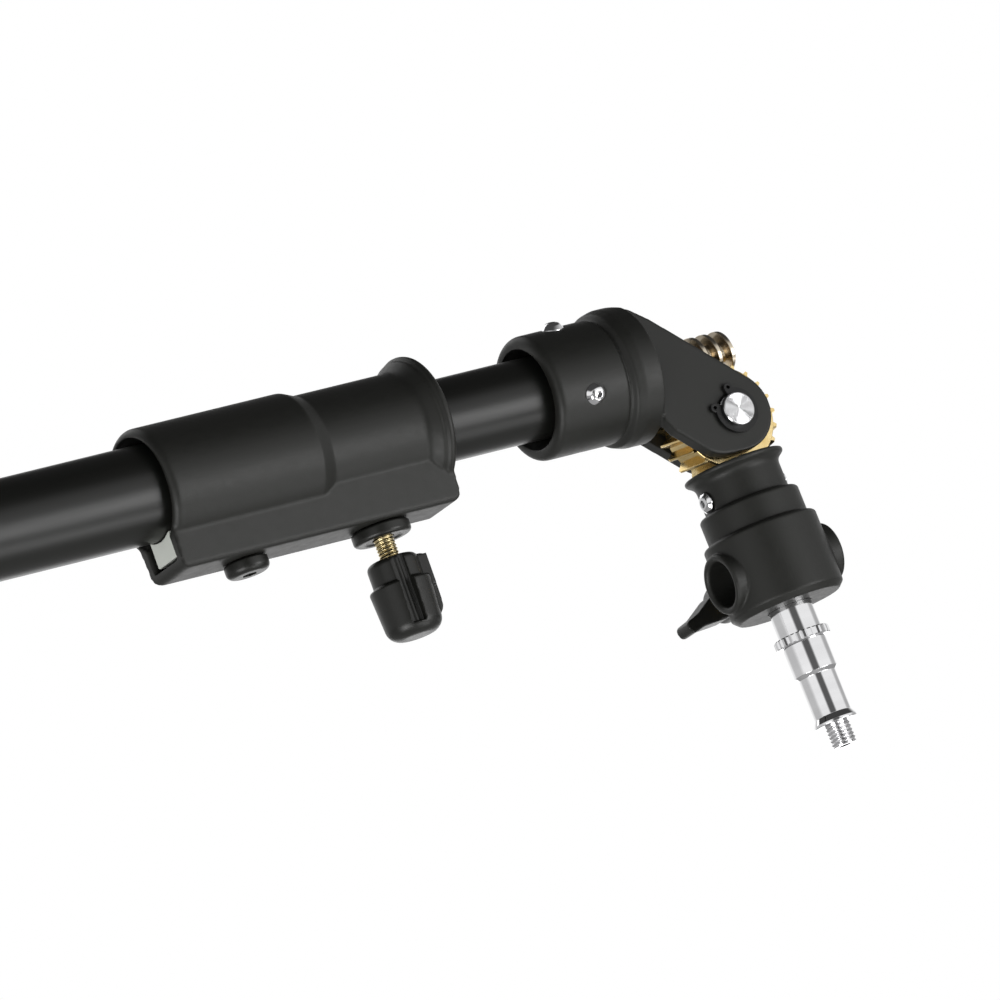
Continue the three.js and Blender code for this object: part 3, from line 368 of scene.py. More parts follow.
def combine(piece, tool, operation):
    assign(piece.modifiers.new("combine", "BOOLEAN"), operation=operation, solver="MANIFOLD", object=tool)
    bake(piece)
    bpy.data.objects.remove(tool)
    return welded(piece)


def cut(piece, tool):
    return combine(piece, tool, "DIFFERENCE")


def join(piece, tool):
    return combine(piece, tool, "UNION")


def drill(piece, radius, start, end, *matrices, segments=SEGMENTS):
    """Cuts a round hole that is made along Z and then moved into its place."""
    return cut(piece, move(rod(radius, start, end, segments), *matrices))


def moulded(piece, grid, rounds, keep):
    """Gives a cast or moulded piece soft edges: a fine grid, smoothed, then thinned where it is flat."""
    assign(piece.modifiers.new("grid", "REMESH"), mode="VOXEL", voxel_size=grid)
    assign(piece.modifiers.new("smooth", "SMOOTH"), factor=0.5, iterations=rounds)
    assign(piece.modifiers.new("thin", "DECIMATE"), ratio=keep)
    return bake(piece)


def bevelled(piece, width):
    bevel = piece.modifiers.new("bevel", "BEVEL")
    assign(bevel, width=width, segments=2, limit_method="ANGLE", angle_limit=radians(40))
    return bake(piece)


def threaded(radius, depth, pitch, start, end, rows_per_turn=10, steepness=1.25, segments=FEWER):
    """A threaded rod along Z: a V thread with a flat root, which fades out at both ends."""
    rows = ceil((end - start) / pitch * rows_per_turn)
    vertices = [(0, 0, start)]
    for row in range(rows + 1):
        place = start + (end - start) * row / rows
        fade = min(1, (place - start) / pitch, (end - place) / pitch)
        for k in range(segments):
            phase = (place / pitch - k / segments) % 1
            height = 1 - abs(2 * phase - 1)
            groove = depth * min(1, steepness * (1 - height))
            reach = radius - max(groove, depth * (1 - fade))
            vertices.append((*polar(reach, tau * k / segments), place))
    vertices.append((0, 0, end))
    faces = [(0, 1 + (k + 1) % segments, 1 + k) for k in range(segments)]
    faces += ring_faces(rows + 1, segments, first=1)
    top = 1 + rows * segments
    faces += [(len(vertices) - 1, top + k, top + (k + 1) % segments) for k in range(segments)]
    return new_piece(vertices, faces)


# Materials
def set_values(node, values):
    for name, value in values.items():
        node.inputs[name].default_value = value


def node_of(tree, kind, values=None, **settings):
    node = assign(tree.nodes.new(kind), **settings)
    set_values(node, values or {})
    return node


def link(source, output, target, entry):
    """Wires a node's output to an input of another node in its tree."""
    source.id_data.links.new(source.outputs[output], target.inputs[entry])


def finish(name, colour, roughness, metallic=0.0, specular=0.5, grain=0.4, bump=0.1, stretch=(1, 1, 1),
           patch=9, spread=0.25, tint=None):
    """A surface: a fine grain as bump, and slow patches that vary its colour and roughness."""
    material = bpy.data.materials.new(name)
    material.use_nodes = True
    tree = material.node_tree
    shader = tree.nodes["Principled BSDF"]
    set_values(shader, {"Metallic": metallic, "Specular IOR Level": specular})
    place = node_of(tree, "ShaderNodeTexCoord")
    mapping = node_of(tree, "ShaderNodeMapping", {"Scale": stretch})
    link(place, "Object", mapping, "Vector")

    fine = node_of(tree, "ShaderNodeTexNoise", {"Scale": 1 / (grain * MM), "Detail": 3})
    link(mapping, "Vector", fine, "Vector")
    raised = node_of(tree, "ShaderNodeBump", {"Strength": bump, "Distance": grain * MM / 4})
    link(fine, "Fac", raised, "Height")
    link(raised, "Normal", shader, "Normal")

    slow = node_of(tree, "ShaderNodeTexNoise", {"Scale": 1 / (patch * MM), "Detail": 6, "Roughness": 0.65})
    link(mapping, "Vector", slow, "Vector")
    ends = {"To Min": roughness * (1 - spread), "To Max": roughness * (1 + spread)}
    dull = node_of(tree, "ShaderNodeMapRange", {"From Min": 0.3, "From Max": 0.7, **ends})
    link(slow, "Fac", dull, "Value")
    link(dull, "Result", shader, "Roughness")
    shade = node_of(tree, "ShaderNodeValToRGB")
    other = tint or [channel * (1 - spread) for channel in colour]
    shade.color_ramp.elements[0].position = 0.3
    shade.color_ramp.elements[0].color = (*other, 1)
    shade.color_ramp.elements[1].position = 0.65
    shade.color_ramp.elements[1].color = (*colour, 1)
    link(slow, "Fac", shade, "Fac")
    link(shade, "Color", shader, "Base Color")
    return material


def turned_face(material, centre, spacing):
    """Adds the fine rings that a lathe leaves on a face square to Y."""
    tree = material.node_tree
    shader = tree.nodes["Principled BSDF"]
    place = node_of(tree, "ShaderNodeTexCoord")
    mapping = node_of(tree, "ShaderNodeMapping", {"Location": -centre})
    wave = node_of(
        tree, "ShaderNodeTexWave", {"Scale": 1 / (spacing * MM), "Distortion": 0.6}, wave_type="RINGS",
        rings_direction="Y",
    )
    raised = node_of(tree, "ShaderNodeBump", {"Strength": 0.35, "Distance": spacing * MM / 5})
    link(place, "Object", mapping, "Vector")
    link(mapping, "Vector", wave, "Vector")
    link(wave, "Fac", raised, "Height")
    tree.links.new(shader.inputs["Normal"].links[0].from_socket, raised.inputs["Normal"])
    link(raised, "Normal", shader, "Normal")
    return material


# Grains drawn out along the tubes, and round turned or ground pieces
ALONG_X = (0.06, 1, 1)
ROUND_Z = (0.05, 0.05, 1)
ROUND_X = (1, 0.05, 0.05)
# Looks: colour, roughness, and what else differs from a plain surface
LOOKS = {
    "black_casting": (
        (0.0145, 0.0148, 0.0128), 0.46, dict(specular=0.36, grain=0.5, bump=0.16, patch=2.5, spread=0.1),
    ),
    "black_tube": (
        (0.0075, 0.0077, 0.0065), 0.34,
        dict(specular=0.42, grain=0.25, bump=0.05, stretch=ALONG_X, patch=3, spread=0.1),
    ),
    "black_plastic": (
        (0.01, 0.0102, 0.0086), 0.36, dict(specular=0.42, grain=0.6, bump=0.1, patch=3, spread=0.12),
    ),
    "white_nylon": ((0.72, 0.75, 0.69), 0.6, dict(grain=0.8, bump=0.08, spread=0.06)),
    "chrome": (
        (0.86, 0.86, 0.87), 0.07, dict(metallic=1, grain=0.3, bump=0.02, stretch=ROUND_Z, spread=0.12),
    ),
    "steel": (
        (0.62, 0.56, 0.47), 0.22,
        dict(metallic=1, grain=0.3, bump=0.1, stretch=ROUND_X, spread=0.3, tint=(0.5, 0.42, 0.3)),
    ),
    "dark_steel": ((0.02, 0.02, 0.02), 0.42, dict(metallic=0.6)),
    "brass": (
        (0.87, 0.69, 0.36), 0.24, dict(metallic=1, grain=0.5, bump=0.12, spread=0.2, tint=(0.74, 0.53, 0.2)),
    ),
    "bronze": ((0.45, 0.27, 0.1), 0.42, dict(metallic=1, grain=0.3, bump=0.15)),
    "yellow_zinc": (
        (0.8, 0.66, 0.36), 0.24, dict(metallic=1, grain=0.3, bump=0.06, patch=3, tint=(0.62, 0.52, 0.3)),
    ),
}
finishes = {name: finish(name, colour, dull, **look) for name, (colour, dull, look) in LOOKS.items()}
slots = {part["node"]: part["material_slot"] for part in frame["record"]["subparts"]}
node_body = {
    node: body for body, nodes in frame["record"]["behaviour"]["bodies"].items() for node in nodes
}


def paint(piece, material, sharp):
    piece.data.materials.clear()
    piece.data.materials.append(material)
    piece.data.set_sharp_from_angle(angle=radians(sharp))


def dress(piece, node, matrix, material=None, sharp=32):
    """Sets a finished piece in its place instead of a CAD node, on the node's body."""
    move(piece, matrix, Matrix.Scale(MM, 4))
    piece.name = f"{node}_surface"
    piece.data.polygons.foreach_set("use_smooth", [True] * len(piece.data.polygons))
    paint(piece, material or finishes[slots[node]], sharp)
    assign(piece.modifiers.new("even", "WEIGHTED_NORMAL"), keep_sharp=True)
    bake(piece)
    piece.data.name = piece.name
    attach(piece, node_body[node])
    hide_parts(node)


def build_tubes():
    for node, tube in (("outer_tube", outer_tube), ("inner_tube", inner_tube)):
        outline = loop(tube.radius - tube.wall, tube.radius, low(node).x, high(node).x, SMALL)
        dress(lathe(outline), node, TO_X)


# Rear plug with its notched flange, and the bearing of the drive rod
def build_rear_plug():
    start, end = low("rear_plug").x, high("rear_plug").x
    face = start + plug.flange
    flange = outer_tube.radius - GAP
    body = outer_tube.radius - outer_tube.wall - GAP
    piece = lathe([
        (plug.bore, start, SOFT),
        (flange - plug.edge, start, SOFT),
        (flange, start + plug.edge, plug.edge),
        (flange, face),
        (body, face),
        (body, end, SOFT),
        (plug.bore, end),
    ])
    notch_end = start + plug.flange / 2
    for k in range(plug.notches):
        places = shift(flange + plug.notch_width / 4), rotation(360 * k / plug.notches, "Z")
        radius = plug.notch_width / 2
        drill(piece, radius, notch_end - plug.flange, notch_end, *places, segments=plug.notch_facets)
    dress(piece, "rear_plug", TO_X)

    outer = high("rear_bearing").z
    outline = loop(outer - plug.bearing_wall, outer, low("rear_bearing").x, high("rear_bearing").x, FINE)
    dress(lathe(outline, FEWER), "rear_bearing", TO_X)


# Crank arm and its bolt
def build_crank():
    c = crank
    at_end = shift(z=-c.throw)
    hub = move(soft_rod(c.hub_radius, 0, c.hub_length, FULL, c.hub_edge), TO_X)
    piece = join(hub, move(soft_rod(c.end_radius, 0, c.arm, FULL, FULL), TO_X, at_end))
    narrow = c.arm_half * c.arm_taper
    arm_outline = [(-c.arm_half, 0), (c.arm_half, 0), (narrow, -c.throw), (-narrow, -c.throw)]
    join(piece, move(prism(arm_outline, 0, c.arm), BAR))
    cut(piece, move(prism(hexagon(c.rod_across + 2 * GAP), -OVERRUN, c.hub_length + OVERRUN), BAR))
    drill(piece, grip.axle + GAP, -OVERRUN, c.arm + OVERRUN, TO_X, at_end)
    dress(moulded(piece, grid=0.45, rounds=3, keep=0.5), "crank_arm", AT_CRANK)

    b = crank_bolt
    foot = -GAP - b.head_height
    bolt = lathe(headed(b.head, b.radius, foot, -GAP, c.hub_length - GAP, b.crown), FEWER)
    cut(bolt, prism(hexagon(b.across), foot - OVERRUN, foot + b.depth))
    dress(bolt, "crank_bolt", AT_CRANK @ TO_X)


# Ribbed crank grip and its axle
def build_grip():
    g = grip
    at_grip = AT_CRANK @ shift(z=-crank.throw) @ TO_X
    rear = -GAP - g.length
    bore = g.axle + GAP
    outline = [(bore, rear, SMALL), (g.radius, rear, g.edge)]
    step = (g.length - 3 * g.edge) / g.ribs
    for k in range(g.ribs):
        share = (k + 0.5) / g.ribs
        reach = g.waist + (g.radius - g.waist) * (2 * share - 1) ** 2
        floor = reach - g.rib_depth
        place = rear + 1.5 * g.edge + k * step
        outline += [(reach, place, FINE), (reach, place + g.ridge_end * step, FINE)]
        groove = place + g.groove_start * step, place + g.groove_end * step
        outline += [(floor, groove[0], CRISP), (floor, groove[1], CRISP)]
    outline += [(g.radius, -GAP, FULL), (bore, -GAP)]
    dress(lathe(outline), "crank_grip", at_grip)
    head = rear - GAP
    outline = headed(g.head, g.axle, head - g.head_height, head, crank.arm, g.crown, CRISP, SMALL)
    dress(lathe(outline, FEWER), "grip_axle", at_grip)


def mouthed_bore(sizes, bore, end):
    """A tool for a bore along X whose start is a wider mouth."""
    wide = bore + sizes.mouth
    mouth = [(0, -OVERRUN), (wide, -OVERRUN), (wide, sizes.mouth_lip)]
    return move(lathe(mouth + [(bore, sizes.mouth_depth), (bore, end), (0, end)]), TO_X)


# Clamp collar: a stepped round body with a coved lip, on a hollow keel
def build_collar():
    c = collar
    bead = c.length - c.lip_bead
    shoulder = c.lip_radius - c.lip_shoulder
    piece = lathe([
        (0, 0),
        (c.rear_radius, 0, c.edge),
        (c.rear_radius, c.rear_length, c.step_edge),
        (c.front_radius, c.rear_length + c.ramp_length, c.step_edge),
        (c.front_radius, c.length - c.lip_width, c.lip_cove),
        (shoulder, bead - c.lip_groove, c.shoulder_edge),
        (shoulder - c.lip_groove, bead, FINE),
        (c.lip_radius, bead, c.bead_edge),
        (c.lip_radius, c.length, c.lip_edge),
        (0, c.length),
    ])
    keel_outline = [
        (-c.keel_top, 0),
        (-c.keel_bottom, -c.keel_depth, c.keel_edge),
        (c.keel_bottom, -c.keel_depth, c.keel_far_edge),
        (c.keel_top, 0),
    ]
    front = c.length - GAP
    side_outline = [(0, 0), (0, -c.keel_depth, c.end_edge), (front, -c.keel_depth, c.end_edge), (front, 0)]
    keel = move(prism(keel_outline, -OVERRUN, c.length + OVERRUN), BAR)
    combine(keel, move(prism(side_outline, -2 * c.keel_top, 2 * c.keel_top), PLATE), "INTERSECT")
    join(move(piece, TO_X), keel)
    bore = outer_tube.radius + GAP
    cut(piece, mouthed_bore(c, bore, c.length + OVERRUN))
    cavity_x = (-2 * OVERRUN, c.length - c.front_wall)
    cut(piece, block(cavity_x, (-c.cavity_half, c.cavity_half), (c.floor - c.keel_depth, -bore / 2)))
    for screw in (fixing_screw, insert):
        drill(piece, screw.shank_radius + GAP, -c.keel_depth - OVERRUN, 0, shift(screw.x))
    dress(moulded(piece, grid=0.5, rounds=3, keep=0.4), "clamp_collar", AT_COLLAR)


# White pad and screw that hold the collar on the outer tube
def build_fixing():
    inside = collar.cavity_half - pad.side_gap
    bottom = collar.keel_depth - collar.floor - pad.under_gap
    body = block((pad.start, pad.end), (-inside, inside), (-bottom, -outer_tube.radius / 2))
    drill(body, outer_tube.radius + GAP, 0, pad.end + OVERRUN, TO_X)
    dress(bevelled(body, SOFT), "fixing_pad", AT_COLLAR)

    f = fixing_screw
    top = -collar.keel_depth - GAP
    foot = top - f.head_height
    screw = lathe(headed(f.head_radius, f.shank_radius, foot, top, GAP - bottom, f.crown, f.edge))
    cut(screw, prism(hexagon(f.across), foot - OVERRUN, foot + f.depth))
    dress(screw, "fixing_screw", AT_COLLAR @ shift(f.x))


# Slit bush between collar and inner tube
def build_front_bush():
    start, end = low("front_bush").x, high("front_bush").x
    body = move(lathe(loop(inner_tube.radius + GAP, outer_tube.radius, start, end, SOFT)), TO_X)
    half = collar.cavity_half + GAP
    slit = block((start - OVERRUN, end + OVERRUN), (-half, half), (-outer_tube.radius - GAP, 0))
    dress(cut(body, slit), "front_bush", Matrix.Identity(4))


# Threaded insert of the clamp and its stud
def build_clamp_screw():
    i = insert
    top = -collar.keel_depth - GAP
    foot = top - i.flange_height
    bore = stud.radius + GAP
    dish = i.flange_radius - i.crown - i.rim
    outline = [
        (bore, foot + i.dish, CRISP),
        (dish, foot + i.dish, SMALL),
        (dish + i.rim / 2, foot, SOFT),
        (i.flange_radius, foot, i.crown),
        (i.flange_radius, top, FULL),
        (i.shank_radius, top),
        (i.shank_radius, high("screw_insert").z),
        (bore, high("screw_insert").z),
    ]
    dress(lathe(outline), "screw_insert", AT_INSERT)
    thread = threaded(stud.radius, stud.thread, stud.pitch, low("clamp_stud").z, high("clamp_stud").z)
    dress(thread, "clamp_stud", AT_INSERT, sharp=60)


# Clamp knob: a drum with a wing and its pad, and a ribbed groove on each side
def build_knob():
    k = knob
    knob_top = -collar.keel_depth - k.below
    knob_end = knob_top - k.height
    drum_top = knob_top - k.collar_height
    piece = lathe([
        (0, knob_end),
        (k.drum_radius - 2 * k.taper, knob_end, k.dome),
        (k.drum_radius, drum_top - k.taper, FULL),
        (k.collar_radius, drum_top, k.drum_edge),
        (k.collar_radius, knob_top, k.collar_edge),
        (0, knob_top),
    ])
    wing_top = knob_top - k.wing_drop
    wing_outline = [
        (0, wing_top),
        (0, knob_end + k.crown / 2),
        (k.wing_reach - 2 * k.crown, knob_end + k.taper, k.wing_foot_edge),
        (k.wing_reach - k.taper / 2, knob_end + 2 * k.crown, k.wing_bend_edge),
        (k.wing_reach, wing_top - k.pad_length, k.wing_side_edge),
        (k.wing_reach - 2 * k.taper, wing_top, k.wing_top_edge),
    ]
    join(piece, move(prism(wing_outline, -k.wing_half, k.wing_half), PLATE))
    pad_half = k.wing_half + k.pad_rise
    pad_x = (k.pad_start, k.wing_reach - k.taper)
    join(piece, block(pad_x, (-pad_half, pad_half), (wing_top - k.pad_length, wing_top - k.taper)))
    groove_x = (k.groove_start, k.groove_start + k.groove_width)
    groove_z = (knob_end + k.crown, wing_top + OVERRUN)
    rib_middle = k.groove_start + k.groove_width / 2
    rib_x = (rib_middle - k.rib / 2, rib_middle + k.rib / 2)
    rib_z = (knob_end + k.crown - GAP, wing_top)
    floor = k.drum_radius - k.groove_depth
    for side in (-1, 1):
        cut(piece, block(groove_x, sorted((side * floor, side * (k.drum_radius + OVERRUN))), groove_z))
        rib_y = sorted((side * (floor - k.rib_root), side * (k.collar_radius - k.rib)))
        join(piece, block(rib_x, rib_y, rib_z))
    drill(piece, stud.radius + GAP, knob_top - stud.into_knob - GAP, knob_top + OVERRUN)
    dress(moulded(piece, grid=0.3, rounds=4, keep=0.5), "clamp_knob", AT_INSERT)


def beside_pin(along, across):
    """A point beside the pivot pin: so far forward along the ears' slope, and so far up across it."""
    slope = radians(ear.slope)
    x = PIN_X + along * cos(slope) + across * sin(slope)
    return x, -pin.below - along * sin(slope) + across * cos(slope)


def ear_outline(near):
    """The near ear has a heel below. The far one is as wide above the pin as below it."""
    slope = radians(ear.slope)
    bottom = -pin.below - ear.radius
    front = sleeve.length - GAP
    points = [(WALL_REAR, sleeve.base_radius), (WALL_REAR, -ear.root_level), (front, -ear.root_level)]
    if near:
        along_root = (pin.from_base - ear.lower_reach * sin(slope)) / cos(slope)
        points.append((front, -ear.root_level - ear.root_drop))
        points.append(beside_pin(ear.root_run - along_root, -ear.lower_reach))
        heel_x, heel_z = beside_pin(ear.heel - along_root, -ear.lower_reach)
        bend = heel_x + (heel_z - bottom) / tan(slope)
        foot = PIN_X - ear.radius / 3
        for step in range(ear.heel_steps + 1):
            t = step / ear.heel_steps
            x = (1 - t) ** 2 * heel_x + 2 * t * (1 - t) * bend + t ** 2 * foot
            z = (1 - t) ** 2 * heel_z + (2 * t * (1 - t) + t ** 2) * bottom
            points.append((x, z))
        start = -90
    else:
        start = -90 - ear.slope
        reach = (sleeve.length - PIN_X + ear.radius * sin(slope)) / cos(slope)
        points.append(beside_pin(reach, -ear.radius))
    points += circle(ear.radius, start, 90 - ear.slope, ear.steps, (PIN_X, -pin.below))
    points.append(beside_pin(-sleeve.length, ear.radius))
    return points


def screw_places():
    """Places of the screws round the sleeve: their axis is turned from +Z."""
    h = sleeve_screw
    turns = [180 + h.turn + 360 * k / h.count for k in range(h.count)]
    return [shift(h.x) @ rotation(turn, "X") @ TO_Y for turn in turns]


# Yoke: the sleeve on the inner tube, its stepped base and two ears
def build_yoke():
    s = sleeve
    piece = move(lathe([
        (0, 0),
        (s.radius, 0, s.edge),
        (s.radius, s.base_start - s.groove, SOFT),
        (s.radius - s.groove, s.base_start, SMALL),
        (s.base_radius - s.groove, s.base_start + s.flare / 3, s.step_edge),
        (s.base_radius, s.base_start + s.flare, s.flare_edge),
        (s.base_radius, s.length, SMALL),
        (0, s.length),
    ]), TO_X)
    front = s.length + pin.from_base + ear.radius + OVERRUN
    half = ear.outer + OVERRUN
    ears = move(prism(ear_outline(near=True), EAR_INNER, ear.outer), PLATE)
    join(ears, move(prism(ear_outline(near=False), -ear.outer, -EAR_INNER), PLATE))
    roof = move(rod(s.base_radius - s.tuck, 0, front), TO_X)
    join(roof, block((0, front), (-half, half), (-front, 0)))
    join(piece, combine(ears, roof, "INTERSECT"))
    corners = ((-front, ear.radius), (front, ear.radius), (front, front), (-front, front))
    cut(piece, move(prism([beside_pin(*corner) for corner in corners], -front, front), PLATE))
    cut(piece, mouthed_bore(s, inner_tube.radius + GAP, WALL_REAR))
    drill(piece, shaft_bush.radius + GAP, WALL_REAR - OVERRUN, s.length + OVERRUN, TO_X)
    drill(piece, pin.radius + GAP, -half, half, TO_Y, shift(PIN_X, 0, -pin.below))
    outside = s.base_radius + OVERRUN
    for number, place in enumerate(screw_places(), 1):
        drill(piece, sleeve_screw.shank_radius + GAP, 0, outside, place, segments=FEWER)
        sunk = sleeve_screw.sunk if number == sleeve_screw.sunk_number else 0
        floor = s.radius - spot_face.depth - sunk
        drill(piece, spot_face.radius, floor, outside, place, segments=FEWER)
    dress(moulded(piece, grid=0.42, rounds=3, keep=0.4), "head_yoke", AT_SLEEVE)


def button_screw(sizes, start, head, top):
    """A round-headed hex screw along Z: its head's foot and top, above the start of its shank."""
    screw = lathe([
        (0, start),
        (sizes.shank_radius, start),
        (sizes.shank_radius, head),
        (sizes.head_radius, head),
        (sizes.head_radius, head + GAP, FINE),
        (sizes.head_radius * sizes.crown_share, top, sizes.crown),
        (0, top),
    ], FEWER)
    return cut(screw, prism(hexagon(sizes.across), top - sizes.depth, top + OVERRUN))


def build_sleeve_screws():
    h = sleeve_screw
    head = sleeve.radius - spot_face.depth
    top = sleeve.radius + GAP + h.head_height
    for number, place in enumerate(screw_places(), 1):
        screw = button_screw(h, inner_tube.radius + GAP, head, top)
        if number == h.sunk_number:
            move(screw, shift(z=-h.sunk))
        dress(screw, f"sleeve_screw_{number}", AT_SLEEVE @ place)


def build_pivot_pin():
    p = pin
    end = ear.outer + p.past_ear
    groove = ear.outer + ring.thickness + 2 * GAP
    half = [
        (p.radius, ear.outer),
        (p.groove_radius, ear.outer),
        (p.groove_radius, groove),
        (p.radius, groove),
        (p.radius, end, p.chamfer),
        (p.radius * p.face_share, end),
        (0, end - p.dimple),
    ]
    bright = turned_face(finishes["chrome"].copy(), middle("pivot_pin") * MM, p.turning)
    bright.name = "turned_pin"
    dress(lathe(mirrored(half) + half), "pivot_pin", AT_PIN @ TO_Y, bright)


# Open retaining rings with an eye on each end
def build_retaining_rings():
    r = ring
    start, end = r.middle + r.half_gap, r.middle + 360 - r.half_gap
    outline = circle(r.radius, start, end, r.steps) + circle(r.inner, start, end, r.steps)[::-1]
    lug_turn = radians(r.half_gap) + r.lug_radius / r.lug_reach
    for node in ("retaining_ring_1", "retaining_ring_2"):
        piece = prism(outline, 0, r.thickness)
        for side in (-1, 1):
            angle = radians(r.middle) + side * lug_turn
            spot = shift(*polar(r.lug_reach, angle))
            join(piece, move(rod(r.lug_radius, r.lug_step, r.thickness - r.lug_step, r.lug_facets), spot))
            drill(piece, r.eye, -OVERRUN, r.thickness + OVERRUN, spot, segments=r.eye_facets)
        dress(bevelled(piece, r.edge), node, AT_PIN @ shift(y=low(node).y + r.thickness) @ PLATE)


def worm_thread():
    """A right-hand thread whose crest passes half a pitch past the pin on the lower side."""
    w = worm
    turns = 2 * ceil((w.behind_pin + w.beyond_pin) / PITCH / 2) + w.spare_turns
    land = PITCH - w.base
    crest_start = land / 2 + (w.base - w.crest) / 2
    profile = rounded([
        (0, w.root),
        (land / 2, w.root, SMALL),
        (crest_start, w.radius, w.crest_edge),
        (crest_start + w.crest, w.radius, w.crest_edge),
        (PITCH - land / 2, w.root, SMALL),
        (PITCH, w.root),
    ], closed=False)[:-1]
    per_turn = len(profile)
    steps = w.facets * (turns - 1)
    start = -PITCH * turns / 2
    vertices = []
    for step in range(steps + w.facets + 1):
        angle = tau * step / w.facets - pi / 2
        for along, radius in profile:
            vertices.append((start + PITCH * step / w.facets + along, *polar(radius, angle)))

    def at(step, k):
        return step * per_turn + k if k < per_turn else (step + w.facets) * per_turn

    faces = []
    for step in range(steps):
        for k in range(per_turn):
            faces.append((at(step, k), at(step + 1, k), at(step + 1, k + 1), at(step, k + 1)))
    for step in (0, steps):
        rim = [at(step, k) for k in range(per_turn)] + [at(step + turn, 0) for turn in range(w.facets, 0, -1)]
        centre = len(vertices)
        vertices.append((start + PITCH * step / w.facets + PITCH, 0, 0))
        faces += [(centre, rim[k], rim[(k + 1) % len(rim)]) for k in range(len(rim))]
    return new_piece(vertices, faces)


def build_worm():
    w = worm
    thread = worm_thread()
    trim = lathe([
        (0, -w.behind_pin),
        (w.root, -w.behind_pin),
        (w.radius + GAP, w.crest - w.behind_pin),
        (w.radius + GAP, w.beyond_pin - w.crest, w.end_edge),
        (w.root, w.beyond_pin, SMALL),
        (0, w.beyond_pin),
    ])
    combine(thread, move(trim, TO_X), "INTERSECT")
    wall_front = -pin.from_base
    shaft_end = wall_front - sleeve.front_wall - w.behind_wall
    shaft = lathe([
        (0, shaft_end),
        (w.shaft, shaft_end, SOFT),
        (w.shaft, wall_front + GAP),
        (w.shoulder, wall_front + GAP, SOFT),
        (w.shoulder, SOFT - w.behind_pin - w.crest, SOFT),
        (w.root - GAP, GAP - w.behind_pin),
        (0, GAP - w.behind_pin),
    ])
    join(thread, move(shaft, TO_X))
    dress(thread, "worm", AT_WORM, sharp=40)


def toothed_wheel():
    """Teeth that follow the worm's helix, from one side of the wheel to the other along Y."""
    g = wheel
    tooth = tau / g.teeth
    root_half = g.root_width / 2 / g.root
    tip_half = g.tip_width / 2 / g.tip
    outline = []
    for k in range(g.teeth):
        centre = pi / 2 - k * tooth
        corners = [
            (g.root, centre + tooth / 2),
            (g.root, centre + root_half * flank.root_share),
            (g.root + flank.fillet, centre + root_half * flank.fillet_share),
            (g.tip - flank.tip_edge, centre + tip_half * flank.edge_share),
            (g.tip, centre + tip_half * flank.tip_share),
        ]
        outline += corners + [(radius, 2 * centre - angle) for radius, angle in reversed(corners[1:])]
    slope = PITCH / (tau * worm.pitch_radius)
    count = len(outline)
    vertices = []
    for row in range(g.slices):
        y = g.half_width * (2 * row / (g.slices - 1) - 1)
        turn = radians(HEAD_TILT) + y * slope / WHEEL_RADIUS
        limit = g.tip - (g.chamfer if row in (0, g.slices - 1) else 0)
        for radius, angle in outline:
            reach = min(radius, limit)
            vertices.append((reach * cos(angle - turn), y, reach * sin(angle - turn)))
    ends = [tuple(range(count)), tuple(range((g.slices - 1) * count, g.slices * count))]
    return new_piece(vertices, ring_faces(g.slices, count) + ends)


# Worm wheel: the teeth with a plain rim on the near side, a hub, and a stem with two flats
def build_wheel():
    g = wheel
    piece = toothed_wheel()
    rim_end = GAP / 2 - g.half_width - GAP
    join(piece, move(soft_rod(g.rim, rim_end, rim_end + g.rim_width, SOFT, SOFT), TO_Y))
    half = EAR_INNER - g.washer - 2 * GAP
    join(piece, move(soft_rod(g.hub, -half, half, SOFT, SOFT), TO_Y))
    clear = socket.flange_top - GAP
    outside = g.tip + OVERRUN
    cut(piece, block((-outside, outside), (-EAR_INNER, EAR_INNER), (-outside, -clear)))
    stem_top = g.hub / 3
    stem = rod(g.stem, -g.stem_depth, stem_top)
    flat = half - GAP
    for y in ((-EAR_INNER, -flat), (flat, EAR_INNER)):
        cut(stem, block((-EAR_INNER, EAR_INNER), y, (-clear - GAP, stem_top + OVERRUN)))
    join(piece, stem)
    drill(piece, pin.radius + GAP, -EAR_INNER, EAR_INNER, TO_Y)
    drill(piece, neck_screw.shank_radius + GAP, -g.tip, g.tip, TO_X, shift(z=-neck_screw.level))
    dress(piece, "worm_wheel", AT_HEAD, sharp=30)


